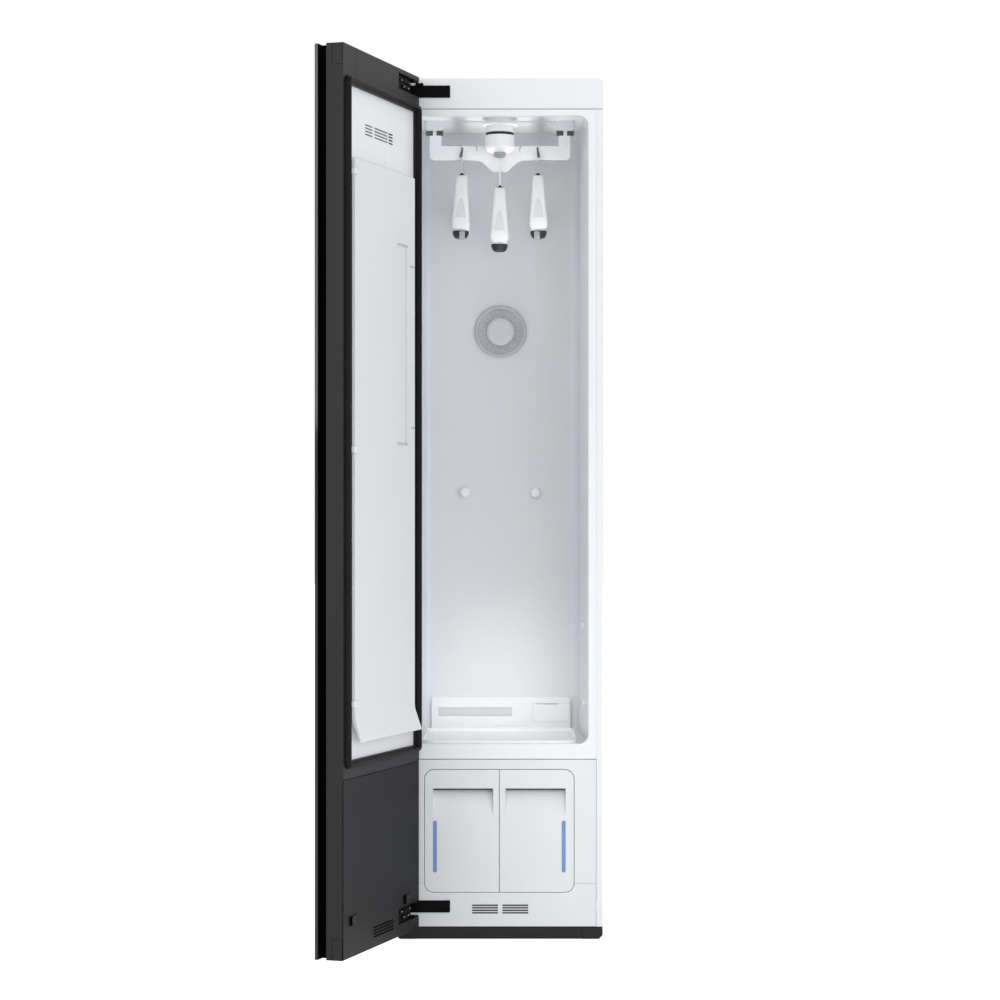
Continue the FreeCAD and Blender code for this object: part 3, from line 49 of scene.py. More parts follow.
view = bpy.data.cameras.new("view")
view.sensor_width = 36.0
view.lens = 95.54
view.shift_x = -0.0156
view.shift_y = 0.0175
view.dof.use_dof = False
viewer = bpy.data.objects.new("view", view)
viewer.location = (0.035, -5.956, 0.9066)
viewer.rotation_euler = (np.pi / 2, 0, 0)
bpy.context.scene.collection.objects.link(viewer)
bpy.context.scene.camera = viewer
bpy.context.scene.view_settings.view_transform = "Standard"


# ---- Studio --------------------------------------------------------------------------------------
# A white sweep round a plain room: the world gives even light from all sides, two broad soft lamps
# model the front, three gridded ones lift the ceiling, the low front and the tray, and the floor is
# matt paper.

def linear(code):
    """An sRGB hex colour as linear red, green, blue and alpha: ((c + 0.055) / 1.055) ^ 2.4 above 0.04045."""
    parts = np.array([int(code[i:i + 2], 16) for i in (1, 3, 5)]) / 255
    curve = np.where(parts <= 0.04045, parts / 12.92, ((parts + 0.055) / 1.055) ** 2.4)
    return (*curve.tolist(), 1.0)


def add(tree, kind, inputs=None, **settings):
    """Adds a node. Settings are its properties; inputs are its sockets, each a value or another's output."""
    node = tree.nodes.new(kind)
    for key, value in settings.items():
        setattr(node, key, value)
    for key, value in (inputs or {}).items():
        if isinstance(value, bpy.types.NodeSocket):
            tree.links.new(value, node.inputs[key])
        else:
            node.inputs[key].default_value = value
    return node


def seen(tree):
    """1 for what the camera sees, straight on or in a gloss or through glass, and 0 for light that falls."""
    path = add(tree, "ShaderNodeLightPath").outputs
    shown = add(tree, "ShaderNodeMath", {0: path["Is Camera Ray"], 1: path["Is Glossy Ray"]},
                operation="ADD", use_clamp=True)
    return add(tree, "ShaderNodeMath", {0: shown.outputs[0], 1: path["Is Transmission Ray"]},
               operation="ADD", use_clamp=True).outputs[0]


def lamp(name, place, aim, size, power, colour, spread=180):
    """A square soft lamp that looks from its place to its aim, with a grid that limits its spread in
    degrees."""
    data = bpy.data.lights.new(name, "AREA")
    data.size = size
    data.energy = power
    data.spread = np.radians(spread)
    data.color = linear(colour)[:3]
    light = bpy.data.objects.new(name, data)
    light.location = place
    light.rotation_euler = (Vector(aim) - Vector(place)).to_track_quat("-Z", "Y").to_euler()
    bpy.context.scene.collection.objects.link(light)


world = bpy.data.worlds.new("white_room")
world.use_nodes = True
bpy.context.scene.world = world
room = world.node_tree
room.nodes.clear()
falling = add(room, "ShaderNodeBackground", {"Color": linear("#f6f7f8"), "Strength": 0.93})
shown = add(room, "ShaderNodeBackground", {"Color": linear("#ffffff"), "Strength": 1.0})
mixed = add(room, "ShaderNodeMixShader", {0: seen(room), 1: falling.outputs[0], 2: shown.outputs[0]})
add(room, "ShaderNodeOutputWorld", {"Surface": mixed.outputs[0]})

lamp("key", (-2.4, -4.2, 2.2), (0.0, 0.0, 0.9), 2.0, 38.0, "#fffefc")
lamp("fill", (2.2, -4.6, 1.0), (0.0, -0.2, 0.8), 2.4, 38.0, "#fbfcff")
lamp("low", (0.4, -2.8, 1.1), (0.0, 0.0, 0.3), 0.8, 0.3, "#fffefc", 25)
lamp("ceiling", (0.0, -0.06, 0.5), (0.0, -0.06, 1.79), 0.25, 0.32, "#fffefc", 25)
lamp("tray", (0.0, -0.2, 0.85), (0.0, 0.12, 0.44), 0.2, 0.1, "#fffefc", 60)

paper = bpy.data.materials.new("matt_white_paper")
paper.use_nodes = True
tree = paper.node_tree
tree.nodes.clear()
place = add(tree, "ShaderNodeTexCoord").outputs["Object"]
fibre = add(tree, "ShaderNodeTexNoise", {"Vector": place, "Scale": 400.0, "Detail": 3.0})
lift = add(tree, "ShaderNodeBump", {"Height": fibre.outputs["Fac"], "Distance": 0.0001})
lit = add(tree, "ShaderNodeMath", {0: seen(tree), 1: 0.8}, operation="MULTIPLY")
sheet = add(tree, "ShaderNodeBsdfPrincipled",
            {"Base Color": linear("#e6e7e9"), "Roughness": 0.9, "Normal": lift.outputs[0],
             "Emission Color": linear("#ffffff"), "Emission Strength": lit.outputs[0]})
add(tree, "ShaderNodeOutputMaterial", {"Surface": sheet.outputs[0]})
reach, drop = 30.0, -0.0005
floor_mesh = bpy.data.meshes.new("floor")
floor_mesh.from_pydata([(-reach, -reach, drop), (reach, -reach, drop), (reach, reach, drop),
                        (-reach, reach, drop)], [], [(0, 1, 2, 3)])
floor_mesh.materials.append(paper)
floor = bpy.data.objects.new("floor", floor_mesh)
bpy.context.scene.collection.objects.link(floor)


# ---- Steel sides ---------------------------------------------------------------------------------
# Folded 1 mm steel, powder-coated white: each side wraps round the front in a narrow return. The
# coat gives a satin skin with a faint orange peel.

def surface(name, colour, shade, roughness, grain, relief, cloud=90.0, spread=0.03, **shader):
    """A material whose noise at the grain's size, in mm, lifts it by the relief and varies its gloss by
    the spread, while a broad noise at the cloud's size drifts its colour towards the shade."""
    material = bpy.data.materials.new(name)
    material.use_nodes = True
    tree = material.node_tree
    tree.nodes.clear()
    place = add(tree, "ShaderNodeTexCoord").outputs["Object"]
    fine = add(tree, "ShaderNodeTexNoise", {"Vector": place, "Scale": 1000 / grain, "Detail": 2.0})
    broad = add(tree, "ShaderNodeTexNoise", {"Vector": place, "Scale": 1000 / cloud, "Detail": 3.0})
    drift = add(tree, "ShaderNodeMix", {0: broad.outputs[0], 6: linear(colour), 7: linear(shade)},
                data_type="RGBA")
    gloss = add(tree, "ShaderNodeMapRange", {0: fine.outputs[0], 3: roughness - spread,
                                             4: roughness + spread})
    bump = add(tree, "ShaderNodeBump", {"Height": fine.outputs[0], "Distance": relief / 1000})
    sockets = {key.replace("_", " "): value for key, value in shader.items()}
    skin = add(tree, "ShaderNodeBsdfPrincipled",
               {"Base Color": drift.outputs[2], "Roughness": gloss.outputs[0],
                "Normal": bump.outputs[0], **sockets})
    add(tree, "ShaderNodeOutputMaterial", {"Surface": skin.outputs[0]})
    return material


def finished(material, *nodes):
    """Gives CAD nodes that keep their shape a finish of their own."""
    for node in nodes:
        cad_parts[node].material_slots[0].material = material


def softened(node, body, material, width):
    """A copy of a CAD node, with its triangles merged to whole faces and its sharp edges rounded by
    the width in mm. It stands for the node."""
    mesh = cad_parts[node].data.copy()
    work = bmesh.new()
    work.from_mesh(mesh)
    bmesh.ops.remove_doubles(work, verts=work.verts, dist=1e-6)
    bmesh.ops.dissolve_limit(work, angle_limit=np.radians(0.5), verts=work.verts, edges=work.edges)
    work.to_mesh(mesh)
    work.free()
    mesh.shade_smooth()
    mesh.set_sharp_from_angle(angle=np.radians(35))
    mesh.materials.clear()
    mesh.materials.append(material)
    piece = bpy.data.objects.new(node + "_skin", mesh)
    bpy.context.scene.collection.objects.link(piece)
    edges = piece.modifiers.new("edges", "BEVEL")
    edges.width = width / 1000
    edges.segments = 2
    edges.limit_method = "ANGLE"
    edges.angle_limit = np.radians(35)
    level = piece.modifiers.new("level", "WEIGHTED_NORMAL")
    level.keep_sharp = True
    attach(piece, body)
    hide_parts(node)
    return piece


# Powder coat: a peel of 3 mm cells, 0.01 mm high, drawn at twice its real relief so that it shows.
powder_coat = surface("white_powder_coated_steel", "#e8e9eb", "#e4e5e7", 0.36, 3.0, 0.02)
finished(powder_coat, "side_panel_left", "side_panel_right")


# ---- Top cover -----------------------------------------------------------------------------------
# A white ABS moulding that caps the case, with rounded shoulders. It is clipped down over the steel
# sides, and a fine groove is left along its foot.

# Moulded ABS: a spark-eroded satin with the slight gloss of a fine mould. Its real cells are about
# 0.3 mm and wouldn't show, so they are drawn at 1.2 mm, and so are the grains of the other plastics.
white_abs = surface("white_moulded_abs", "#e9eaec", "#e5e6e8", 0.34, 1.2, 0.012)
softened("top_cover", "cabinet", white_abs, 0.8)


# ---- Back ----------------------------------------------------------------------------------------
# A flat back of galvanised steel with pressed stiffening beads, held to the sides by pan-head
# screws. Its two blocks of slots let the machine space breathe; the mains gland sits low down.

def corners(points, radii, steps=6):
    """An outline or a path with an arc at each corner that has a radius. An arc starts and ends
    radius / tan(half the corner's angle) from the corner, and its points are slerped between."""
    points = np.asarray(points, float)
    runs = []
    for i, radius in enumerate(np.broadcast_to(radii, len(points))):
        here = points[i]
        if radius <= 0:
            runs.append(here[None])
            continue
        before = points[i - 1] - here
        after = points[(i + 1) % len(points)] - here
        before, after = before / np.linalg.norm(before), after / np.linalg.norm(after)
        half_angle = np.arccos(np.clip(before @ after, -1, 1)) / 2
        middle = before + after
        centre = here + middle / np.linalg.norm(middle) * radius / np.sin(half_angle)
        start = here + before * radius / np.tan(half_angle) - centre
        end = here + after * radius / np.tan(half_angle) - centre
        turn = np.pi - 2 * half_angle
        t = np.linspace(0, 1, steps + 1)[:, None]
        runs.append(centre + (np.sin((1 - t) * turn) * start + np.sin(t * turn) * end) / np.sin(turn))
    return np.vstack(runs)


def rectangle(left, right, low, high):
    """The corners of a rectangle."""
    return [(left, low), (right, low), (right, high), (left, high)]


def drawn_in(outline, amount):
    """A closed outline moved inwards: each point goes along the sum of its two edges' normals, over one
    plus their product, so that every edge moves by the amount."""
    edges = np.roll(outline, -1, 0) - outline
    edges /= np.linalg.norm(edges, axis=1)[:, None]
    normals = np.stack([-edges[:, 1], edges[:, 0]], 1)
    before = np.roll(normals, 1, 0)
    area = np.sum(outline[:, 0] * np.roll(outline[:, 1], -1) - np.roll(outline[:, 0], -1) * outline[:, 1])
    shift = (normals + before) / (1 + np.sum(normals * before, 1))[:, None]
    return outline + np.sign(area) * amount * shift


def slab(outline, levels, edge, plane="xz", steps=3):
    """A plate between two levels across a plane. Its edge is round: at an angle t from 0 to 90 degrees
    the outline is drawn in by edge (1 - sin t) at a depth of edge (1 - cos t) from either face."""
    outline = np.asarray(outline, float)
    t = np.linspace(0, np.pi / 2, steps + 1)
    insets = np.concatenate([edge * (1 - np.sin(t)), edge * (1 - np.sin(t[::-1]))])
    heights = np.concatenate([levels[0] + edge * (1 - np.cos(t)), levels[1] - edge * (1 - np.cos(t[::-1]))])
    rings = np.stack([drawn_in(outline, inset) for inset in insets])
    rings = np.concatenate([rings, rings[:, :1]], 1)
    height = np.broadcast_to(heights[:, None], rings.shape[:2])
    order = {"xz": (rings[..., 0], height, rings[..., 1]), "xy": (rings[..., 0], rings[..., 1], height),
             "yz": (height, rings[..., 0], rings[..., 1])}[plane]
    return np.stack(order, -1), True


def turned(profile, centre, axis="z", around=64, flutes=0, flute=0.0):
    """A profile of (radius, height) turned about an axis through a centre: at an angle a the point
    stands at radius r (1 + flute cos(flutes a)) and height h."""
    profile = np.asarray(profile, float)
    a = np.linspace(0, 2 * np.pi, around + 1)
    r = profile[:, :1] * (1 + flute * np.cos(flutes * a))
    h = np.broadcast_to(profile[:, 1:], r.shape)
    across, up = r * np.cos(a), r * np.sin(a)
    order = {"z": (across, up, h), "y": (across, h, up), "x": (h, across, up)}[axis]
    return np.stack(order, -1) + np.asarray(centre, float), False


def made(name, body, material, shells, crease=35):
    """A piece that rides a body. Each shell is a grid of points in mm, whose neighbours four-sided faces
    join, and whether a face closes its first and last rows. Equal points merge; faces turn outwards."""
    points, faces, first = [], [], 0
    for grid, capped in shells:
        rows, columns = grid.shape[:2]
        index = first + np.arange(rows * columns).reshape(rows, columns)
        quads = np.stack([index[:-1, :-1], index[:-1, 1:], index[1:, 1:], index[1:, :-1]], -1)
        faces += quads.reshape(-1, 4).tolist()
        if capped:
            faces += [index[0, :-1].tolist(), index[-1, :-1].tolist()]
        points.append(grid.reshape(-1, 3) / 1000)
        first += rows * columns
    mesh = bpy.data.meshes.new(name)
    mesh.from_pydata(np.vstack(points).tolist(), [], faces)
    work = bmesh.new()
    work.from_mesh(mesh)
    bmesh.ops.remove_doubles(work, verts=work.verts, dist=1e-6)
    bmesh.ops.recalc_face_normals(work, faces=work.faces)
    work.to_mesh(mesh)
    work.free()
    mesh.shade_smooth()
    mesh.set_sharp_from_angle(angle=np.radians(crease))
    mesh.materials.append(material)
    piece = bpy.data.objects.new(name, mesh)
    bpy.context.scene.collection.objects.link(piece)
    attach(piece, body)
    return piece


def screw(centre, radius, facing):
    """A pan-head screw that faces along -Y or +Y. Its height is a dome, 0.45 r (1 - (d / r)^2.6), cut by
    a cross recess: points within 0.16 r of either arm's line, and 0.6 r of the middle, drop by 0.3 r."""
    a = np.linspace(0, 2 * np.pi, 49)
    d = radius * np.array([0, 0.1, 0.15, 0.17, 0.3, 0.45, 0.58, 0.6, 0.75, 0.88, 0.96, 1, 1])[:, None]
    x, z = d * np.cos(a), d * np.sin(a)
    height = 0.45 * radius * (1 - (d / radius) ** 2.6) + 0.12 * radius
    arm = (np.minimum(abs(x), abs(z)) < 0.16 * radius) & (d < 0.59 * radius)
    height = np.where(arm, height - 0.3 * radius, height)
    height[-1] = -0.2
    y = facing * height
    grid = np.stack([x, y, z], -1) + np.asarray(centre, float)
    return grid, True


half = 222.5
front, back = -256.0, 256.0

# Hot-dip galvanised sheet: crystals of zinc about 12 mm across, each with its own tone and gloss.
zinc = bpy.data.materials.new("galvanised_steel")
zinc.use_nodes = True
tree = zinc.node_tree
tree.nodes.clear()
place = add(tree, "ShaderNodeTexCoord").outputs["Object"]
crystals = add(tree, "ShaderNodeTexVoronoi", {"Vector": place, "Scale": 1000 / 12})
tone = add(tree, "ShaderNodeMix", {0: crystals.outputs["Color"], 6: linear("#a9adb1"), 7: linear("#bcc0c3")},
           data_type="RGBA")
gloss = add(tree, "ShaderNodeMapRange", {0: crystals.outputs["Color"], 3: 0.38, 4: 0.5})
lift = add(tree, "ShaderNodeBump", {"Height": crystals.outputs["Distance"], "Distance": 0.00002})
coat = add(tree, "ShaderNodeBsdfPrincipled", {"Base Color": tone.outputs[2], "Metallic": 0.75,
                                              "Roughness": gloss.outputs[0], "Normal": lift.outputs[0]})
add(tree, "ShaderNodeOutputMaterial", {"Surface": coat.outputs[0]})
finished(zinc, "back_panel")

bead_half, bead_low, bead_high, bead_pitch = 9.0, 470.0, 1700.0, 120.0
beads = [slab(corners(rectangle(x - bead_half, x + bead_half, bead_low, bead_high), bead_half - 0.1),
              (back - 0.4, back + 1.6), 0.95)
         for x in (-bead_pitch, 0, bead_pitch)]
made("back_beads", "cabinet", zinc, beads)

# Zinc-plated steel screws, pale and bright.
plated = surface("zinc_plated_steel", "#c9cbce", "#bfc2c6", 0.3, 0.8, 0.01, Metallic=1.0)
screw_in, screw_radius = 9.0, 4.2
screw_levels = (60, 480, 900, 1320, 1740)
made("back_screws", "cabinet", plated,
     [screw((x, back, z), screw_radius, 1) for x in (screw_in - half, half - screw_in) for z in screw_levels])

# Glass-filled nylon, as moulded: dull black with a fine flow texture.
# The same black also draws painted shade in the lower vents and under the handle recesses.
black_nylon_and_shade = surface("black_nylon_and_shade", "#161617", "#1b1b1d", 0.55, 1.0, 0.02)
gland_place = (-150, back, 78)
gland = corners([(4.2, -12), (8.7, -12), (8.7, 0), (14, 0), (14, 5), (10.5, 9), (9, 16), (4.2, 16)],
                [0, 0, 0, 0, 1.2, 2, 1, 0])
gland = np.vstack([gland, gland[:1]])
ribs = [turned(corners([(9.5, y), (11.6, y), (11.6, y + 1.4), (9.5, y + 1.4)], 0.4).tolist()
               + [(9.5, y)], gland_place, "y", 48) for y in (6.0, 8.8)]
inlet = made("power_gland", "cabinet", black_nylon_and_shade, [turned(gland, gland_place, "y", 64, 12, 0.012)] + ribs)
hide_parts("power_inlet")


# ---- Base and feet -------------------------------------------------------------------------------
# A black moulded tray with a skirt carries the case. Its plinth strip clips on in front, and four
# feet on threaded studs level the cabinet, each with a rubber sole.

# Polypropylene with a leather-fine grain of 1.5 mm, made to hide scuffs.
black_tray = surface("black_grained_polypropylene", "#101011", "#141416", 0.55, 1.5, 0.03,
                     Specular_IOR_Level=0.25)
softened("base_pan", "cabinet", black_tray, 0.6)
softened("kick_plate", "cabinet", black_tray, 0.8)

# Natural rubber, moulded: matt black with a dusty look. The nuts and studs are blackened to match.
# The same black also draws the painted shadow in the groove under the top cover.
rubber_and_shade = surface("black_rubber_and_painted_shade", "#141415", "#191919", 0.8, 0.8, 0.03)
foot_x, foot_y = 185, 215
nut_radius, nut_top, stud_radius, thread_depth, thread_rise = 9.6, 9, 5.0, 0.5, 0.62
sixths = np.radians(np.arange(0, 360, 60))
hexagon = nut_radius * np.stack([np.cos(sixths), np.sin(sixths)], 1)
pad = corners([(0, 0), (18, 0), (18, 3.2), (13, 6), (0, 6)], [0, 1, 1.2, 1, 0])
# The thread: at a half turn i the stud's radius is less by the depth where i is odd.
half_turns = np.arange(44)
thread = np.stack([stud_radius - thread_depth * (half_turns % 2), nut_top + thread_rise * half_turns], 1)
stud = np.vstack([(0, 8.8), thread, (0, 36.4)])
feet = []
for x in (-foot_x, foot_x):
    for y in (-foot_y, foot_y):
        feet.append(turned(pad, (x, y, 0), "z", 48))
        feet.append(slab(corners(hexagon + (x, y), 0.6, 2), (5.6, nut_top), 0.5, "xy"))
        feet.append(turned(stud, (x, y, 0), "z", 32))
feet = made("levelling_feet_detailed", "cabinet", rubber_and_shade, feet)
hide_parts("levelling_feet")


# ---- Groove under the top cover ------------------------------------------------------------------
# The top cover stands off the front below it by a fine groove. A black strip in the groove is
# painted shadow: it draws the dark line that the groove's own shade gives.

groove_low = 1783.6
groove_shadow = slab(rectangle(0.9 - half, half - 0.9, groove_low, groove_low + 1), (front + 0.3, front + 1.1), 0.1)
made("top_cover_painted_groove_shadow", "cabinet", rubber_and_shade, [groove_shadow])


# ---- Liner ---------------------------------------------------------------------------------------
# The garment space is one vacuum-formed sheet of cool white polystyrene, 3 mm thick, with a smooth
# gloss from the forming. Blocks of rigid foam fill the room between it and the steel.

# Formed polystyrene: nearly smooth, with a long faint waviness where the sheet was stretched.
liner_skin = surface("formed_white_polystyrene", "#ebecee", "#e7e8eb", 0.3, 9.0, 0.03, 220.0)
finished(liner_skin, "inner_liner")

# Low moulded ribs run from front to back under the ceiling.
ceiling = 1792.0
rib_half, rib_drop, rib_front, rib_back = 0.9, 1.4, -232, -44
ribs = [slab(corners(rectangle(x - rib_half, x + rib_half, rib_front, rib_back), 0.8, 2),
             (ceiling - rib_drop, ceiling + 0.5), 0.3, "xy")
        for x in (-83, -53, -11, 42, 89)]
made("ceiling_ribs", "cabinet", liner_skin, ribs)

# Blown polyurethane: cream, matt, with open cells of 2 mm.
foam = surface("rigid_foam", "#e6dfc8", "#dcd2b4", 0.85, 2.0, 0.4, 30.0)
finished(foam, "wall_insulation")


# ---- Air outlet and pegs -------------------------------------------------------------------------
# Warm air comes through a ring of slots in a round bezel in the back wall, round a domed cap. Two
# pegs below it carry a loose shelf or a rack, and small rests on the sides hold a shelf.

rear_wall = 154.0
outlet_z = 1334.5

# Moulded ABS of the fittings inside, a shade cooler and glossier than the case.
inner_abs = surface("cool_white_abs", "#f8f8fa", "#f4f5f7", 0.3, 1.4, 0.012)
# The same white ABS drawn pale grey for the outlet's cap: painted shade.
pale_shaded_abs = surface("pale_grey_abs_painted_shade", "#dcdde1", "#d6d7db", 0.34, 1.4, 0.012)
# The same ABS in mid grey, matt, for the bezel and the ring of slots: painted shade of the outlet.
grey_abs_and_shade = surface("mid_grey_abs_and_painted_shade", "#c6c7ca", "#bebfc3", 0.5, 1.2, 0.015)
bezel = corners([(45, -3), (50, -4.2), (52.5, -10), (58, -10), (60, -6), (60, 0), (47, 0), (47, 6), (45, 6)],
                [0, 2.5, 1.6, 1.8, 2, 0.4, 0, 0.5, 0.5])
bezel = np.vstack([bezel, bezel[:1]])
ring = made("outlet_bezel", "cabinet", grey_abs_and_shade, [turned(bezel, (0, rear_wall, outlet_z), "y", 128)])


def slotted(radii, slots, centre, depth, share=0.42):
    """A ring plate that faces -Y. Between its rims the surface drops by the depth where the angle, in
    slot pitches, lies within half the share of a whole number: that is one radial slot."""
    pitch = np.arange(0, slots + 1)[:, None] + np.array([-share / 2, -share / 2, share / 2, share / 2])
    pitch, low = pitch.ravel()[:-2], np.tile([0, 1, 1, 0], slots + 1)[:-2]
    a = 2 * np.pi * pitch / slots
    d = np.linspace(*radii, 9)[:, None]
    inside = (d > radii[0] + 2) & (d < radii[1] - 2)
    grid = np.stack([d * np.cos(a), depth * (low * inside) + 0 * d, d * np.sin(a)], -1)
    return grid + np.asarray(centre, float), False


slot_depth, slot_count = 2.2, 24
grille = made("outlet_grille", "cabinet", grey_abs_and_shade,
              [slotted((29, 49), slot_count, (0, rear_wall - 4, outlet_z), slot_depth)])
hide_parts("outlet_ring")
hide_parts("outlet_ring")

dome = corners([(0, -12), (26, -12), (32.2, -8), (32.2, -3.6), (0, -3.6)], [0, 5, 3, 0.5, 0])
cap = made("outlet_cap", "cabinet", pale_shaded_abs, [turned(dome, (0, rear_wall, outlet_z), "y", 96)])
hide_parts("outlet_disc")

peg = corners([(0, -26), (9.2, -26), (11, -23.5), (10.6, -12), (11, -2.5), (12.5, -2.5), (12.5, 0), (0, 0)],
              [0, 2, 1, 30, 0.8, 1, 0.3, 0])
peg_x, peg_z = 80, 964
pegs = made("wall_pegs", "cabinet", inner_abs,
            [turned(peg, (x, rear_wall, peg_z), "y", 64) for x in (-peg_x, peg_x)])
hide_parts("shelf_pegs")
softened("shelf_clips", "cabinet", inner_abs, 1.0)


# ---- Low cover, tray and nozzle ------------------------------------------------------------------
# A moulded cover low on the back wall hides the return duct: it has a louvre on the left and the
# little drawer for a scented sheet on the right. A loose tray and the steam nozzle lie on the floor.

finished(inner_abs, "rear_duct_cover", "air_duct")
softened("aroma_holder", "aroma_drawer", inner_abs, 0.4)
softened("floor_tray", "cabinet", inner_abs, 0.6)
softened("steam_nozzle", "cabinet", inner_abs, 0.6)

# A pale baffle closes the view behind the louvre, and a grey line along the drawer's top is painted
# shadow of its finger notch.
baffle = slab(rectangle(-146, 28, 449, 473), (rear_wall - 10.2, rear_wall - 9.4), 0.1)
made("return_air_baffle", "cabinet", inner_abs, [baffle])
notch_shadow_line = slab(rectangle(82, 134, 478, 479.2), (rear_wall - 14.4, rear_wall - 13.4), 0.1)
made("aroma_holder_painted_notch_shadow", "cabinet", grey_abs_and_shade, [notch_shadow_line])


# ---- Lower front ---------------------------------------------------------------------------------
# Three white ABS mouldings close the machine space in front: the frame round the tanks, the panel
# below with its vent slots, and a blank cap over the second hinge's place.

# The same ABS in a duller white, as the fascias have.
dull_abs = surface("dull_white_abs", "#e2e3e5", "#dddee1", 0.4, 1.2, 0.012)
for node in ("tank_surround", "lower_front_panel"):
    softened(node, "cabinet", dull_abs, 0.5)
softened("hinge_hole_cover", "cabinet", white_abs, 0.5)
finished(dull_abs, "tank_bay")

# Painted shade in the vents: a black sheet behind the lower panel, and a black bar in each slot that
# stands 0.1 mm proud, draw the dark inside of the slots.
slot_lows, slot_length, slot_height = 56.2 + 5.4 * np.arange(4), 55.2, 2.6
insert = [slab(rectangle(-62, 64, 55, 76), (front + 3.1, front + 3.9), 0.1)]
insert += [slab(rectangle(left, left + slot_length, z - 0.3, z + slot_height + 0.3),
                (front - 0.1, front + 0.5), 0.05)
           for z in slot_lows for left in (-58.4, 6.7)]
made("lower_vent_painted_shade", "cabinet", black_nylon_and_shade, insert)


# ---- Water tanks ---------------------------------------------------------------------------------
# Two tanks slide out side by side: a smoky clear polypropylene can behind a white fascia, which has
# a sloping handle recess and a narrow window where the water's level shows blue.

# Natural polypropylene: milky, lets light through, slightly blue with the water behind it.
tank_skin = surface("natural_polypropylene", "#cfd9e4", "#c4d0de", 0.35, 2.0, 0.02, IOR=1.49,
                    Transmission_Weight=0.45)
finished(tank_skin, "supply_tank", "drain_tank")
# The window: clear SAN over blue-dyed water, glossy.
level_blue = surface("blue_level_window", "#5b88c2", "#6c97cc", 0.16, 4.0, 0.02, 60.0)

# A black strip under the top edge of each handle recess is painted shadow: the shade under its lip.
tanks_half = 160.0
window_low, window_high, window_wide = 144.15, 255.55, 8.3
recess_inner, recess_top, shadow_tall = 13.9, 324.4, 3.2
for side, body, node in ((-1, "supply_drawer", "supply_tank_front"), (1, "drain_drawer", "drain_tank_front")):
    softened(node, body, dull_abs, 0.6)
    outer = tanks_half - 17.55
    edges = sorted((side * outer, side * (outer - window_wide)))
    window = corners(rectangle(*edges, window_low, window_high), 4.1, 8)
    pane = made(node + "_window", body, level_blue, [slab(window, (front - 0.1, front + 0.5), 0.25)])
    grip = sorted((side * recess_inner, side * (tanks_half - 18.0)))
    shade = corners(rectangle(*grip, recess_top - shadow_tall, recess_top), 1.4, 3)
    made(node + "_grip_shade", body, black_nylon_and_shade, [slab(shade, (front + 0.3, front + 3), 0.1)])


# ---- Door hinges ---------------------------------------------------------------------------------
# Black-coated steel: a plate fixed to the cabinet's face from behind carries a cranked arm with the
# pin. The door turns on it between two bearing plates, riveted into its pocket.

# Cathodic dip coat on steel: thin, smooth, semi-gloss black.
# The same black also draws the painted shade in the door's hinge pockets.
dip_coat_and_shade = surface("black_dip_coated_steel_and_painted_shade", "#030304", "#050506", 0.5, 2.0, 0.01, Specular_IOR_Level=0.06)
# Turned free-cutting steel: bright, with the fine rings of the tool.
bright_steel = surface("bright_turned_steel", "#d2d4d7", "#c3c6ca", 0.22, 0.9, 0.008, Metallic=1.0)
finished(dip_coat_and_shade, "door_hinge_plates")
hinge_levels = (1821.0, 71.5)
pivot = (-203.0, -295.5)
door_rest = np.radians(107.7)


def opened(shell):
    """A shell of the shut door, swung to where the door stands: turned about its hinge pins, clockwise
    seen from above."""
    grid, capped = shell
    x, y = grid[..., 0] - pivot[0], grid[..., 1] - pivot[1]
    turn = np.cos(door_rest), np.sin(door_rest)
    return np.stack([pivot[0] + turn[0] * x + turn[1] * y, pivot[1] - turn[1] * x + turn[0] * y,
                     grid[..., 2]], -1), capped


for node, level in zip(("upper_hinge_bracket", "lower_hinge_bracket"), hinge_levels):
    softened(node, "cabinet", dip_coat_and_shade, 0.5)
    made(node + "_pin_ends", "cabinet", bright_steel,
         [turned(corners([(0, z), (3.4, z), (3.4, z + 1.2), (0, z + 1.2)], [0, 0.6, 0.6, 0]),
                 (*pivot, level), "z", 40) for z in (7.0, -8.2)])

# Each pocket of the door holds two riveted links and bright screws; a black sheet over its floor and
# back is painted shade of the deep pocket.
pocket_half, pocket_floor, pocket_back = 16.6, -275.9, -316.9
link_root = pocket_floor + 0.5
links_at = ((-186, -120, 3, 9, 2.4), (-176, -132, -10, -3, 3.2))
screws_at = ((-178, 6, 2.4), (-128, 6, 2.4), (-168, -6.5, 3.2), (-140, -6.5, 3.2))
pocket_shade, links, rivets = [], [], []
for level in hinge_levels:
    low, high = level - pocket_half, level + pocket_half
    pocket_shade.append(slab(rectangle(-188, -97, low, high), (pocket_floor, pocket_floor + 0.6), 0.1))
    pocket_shade.append(slab(rectangle(-221, -190.5, low, high), (pocket_back, pocket_back + 0.6), 0.1))
    for left, right, below, above, lift in links_at:
        plate = corners(rectangle(left, right, level + below, level + above), 2.2, 3)
        links.append(slab(plate, (link_root, link_root + lift), 0.5))
    rivets += [screw((x, link_root + lift, level + z), 1.5, 1) for x, z, lift in screws_at]
made("hinge_pocket_painted_shade", "door", dip_coat_and_shade, [opened(part) for part in pocket_shade])
made("hinge_links", "door", dip_coat_and_shade, [opened(part) for part in links])
made("hinge_rivets", "door", bright_steel, [opened(part) for part in rivets])

# A stop above the upper plate keeps the door from going past its widest.
stop = slab(corners(rectangle(-180, -163, 1832, 1839), 2, 3), (front - 6, front - 0.5), 0.6)
made("upper_hinge_stop", "cabinet", dip_coat_and_shade, [stop])


# ---- Door ----------------------------------------------------------------------------------------
# A foam-filled door behind a sheet of tinted glass, with a full-height grip groove at its free edge.
# Its inner side has dark satin mouldings round a white panel.

door_inner = -268.0
door_levels = (29.0, 1847.0)

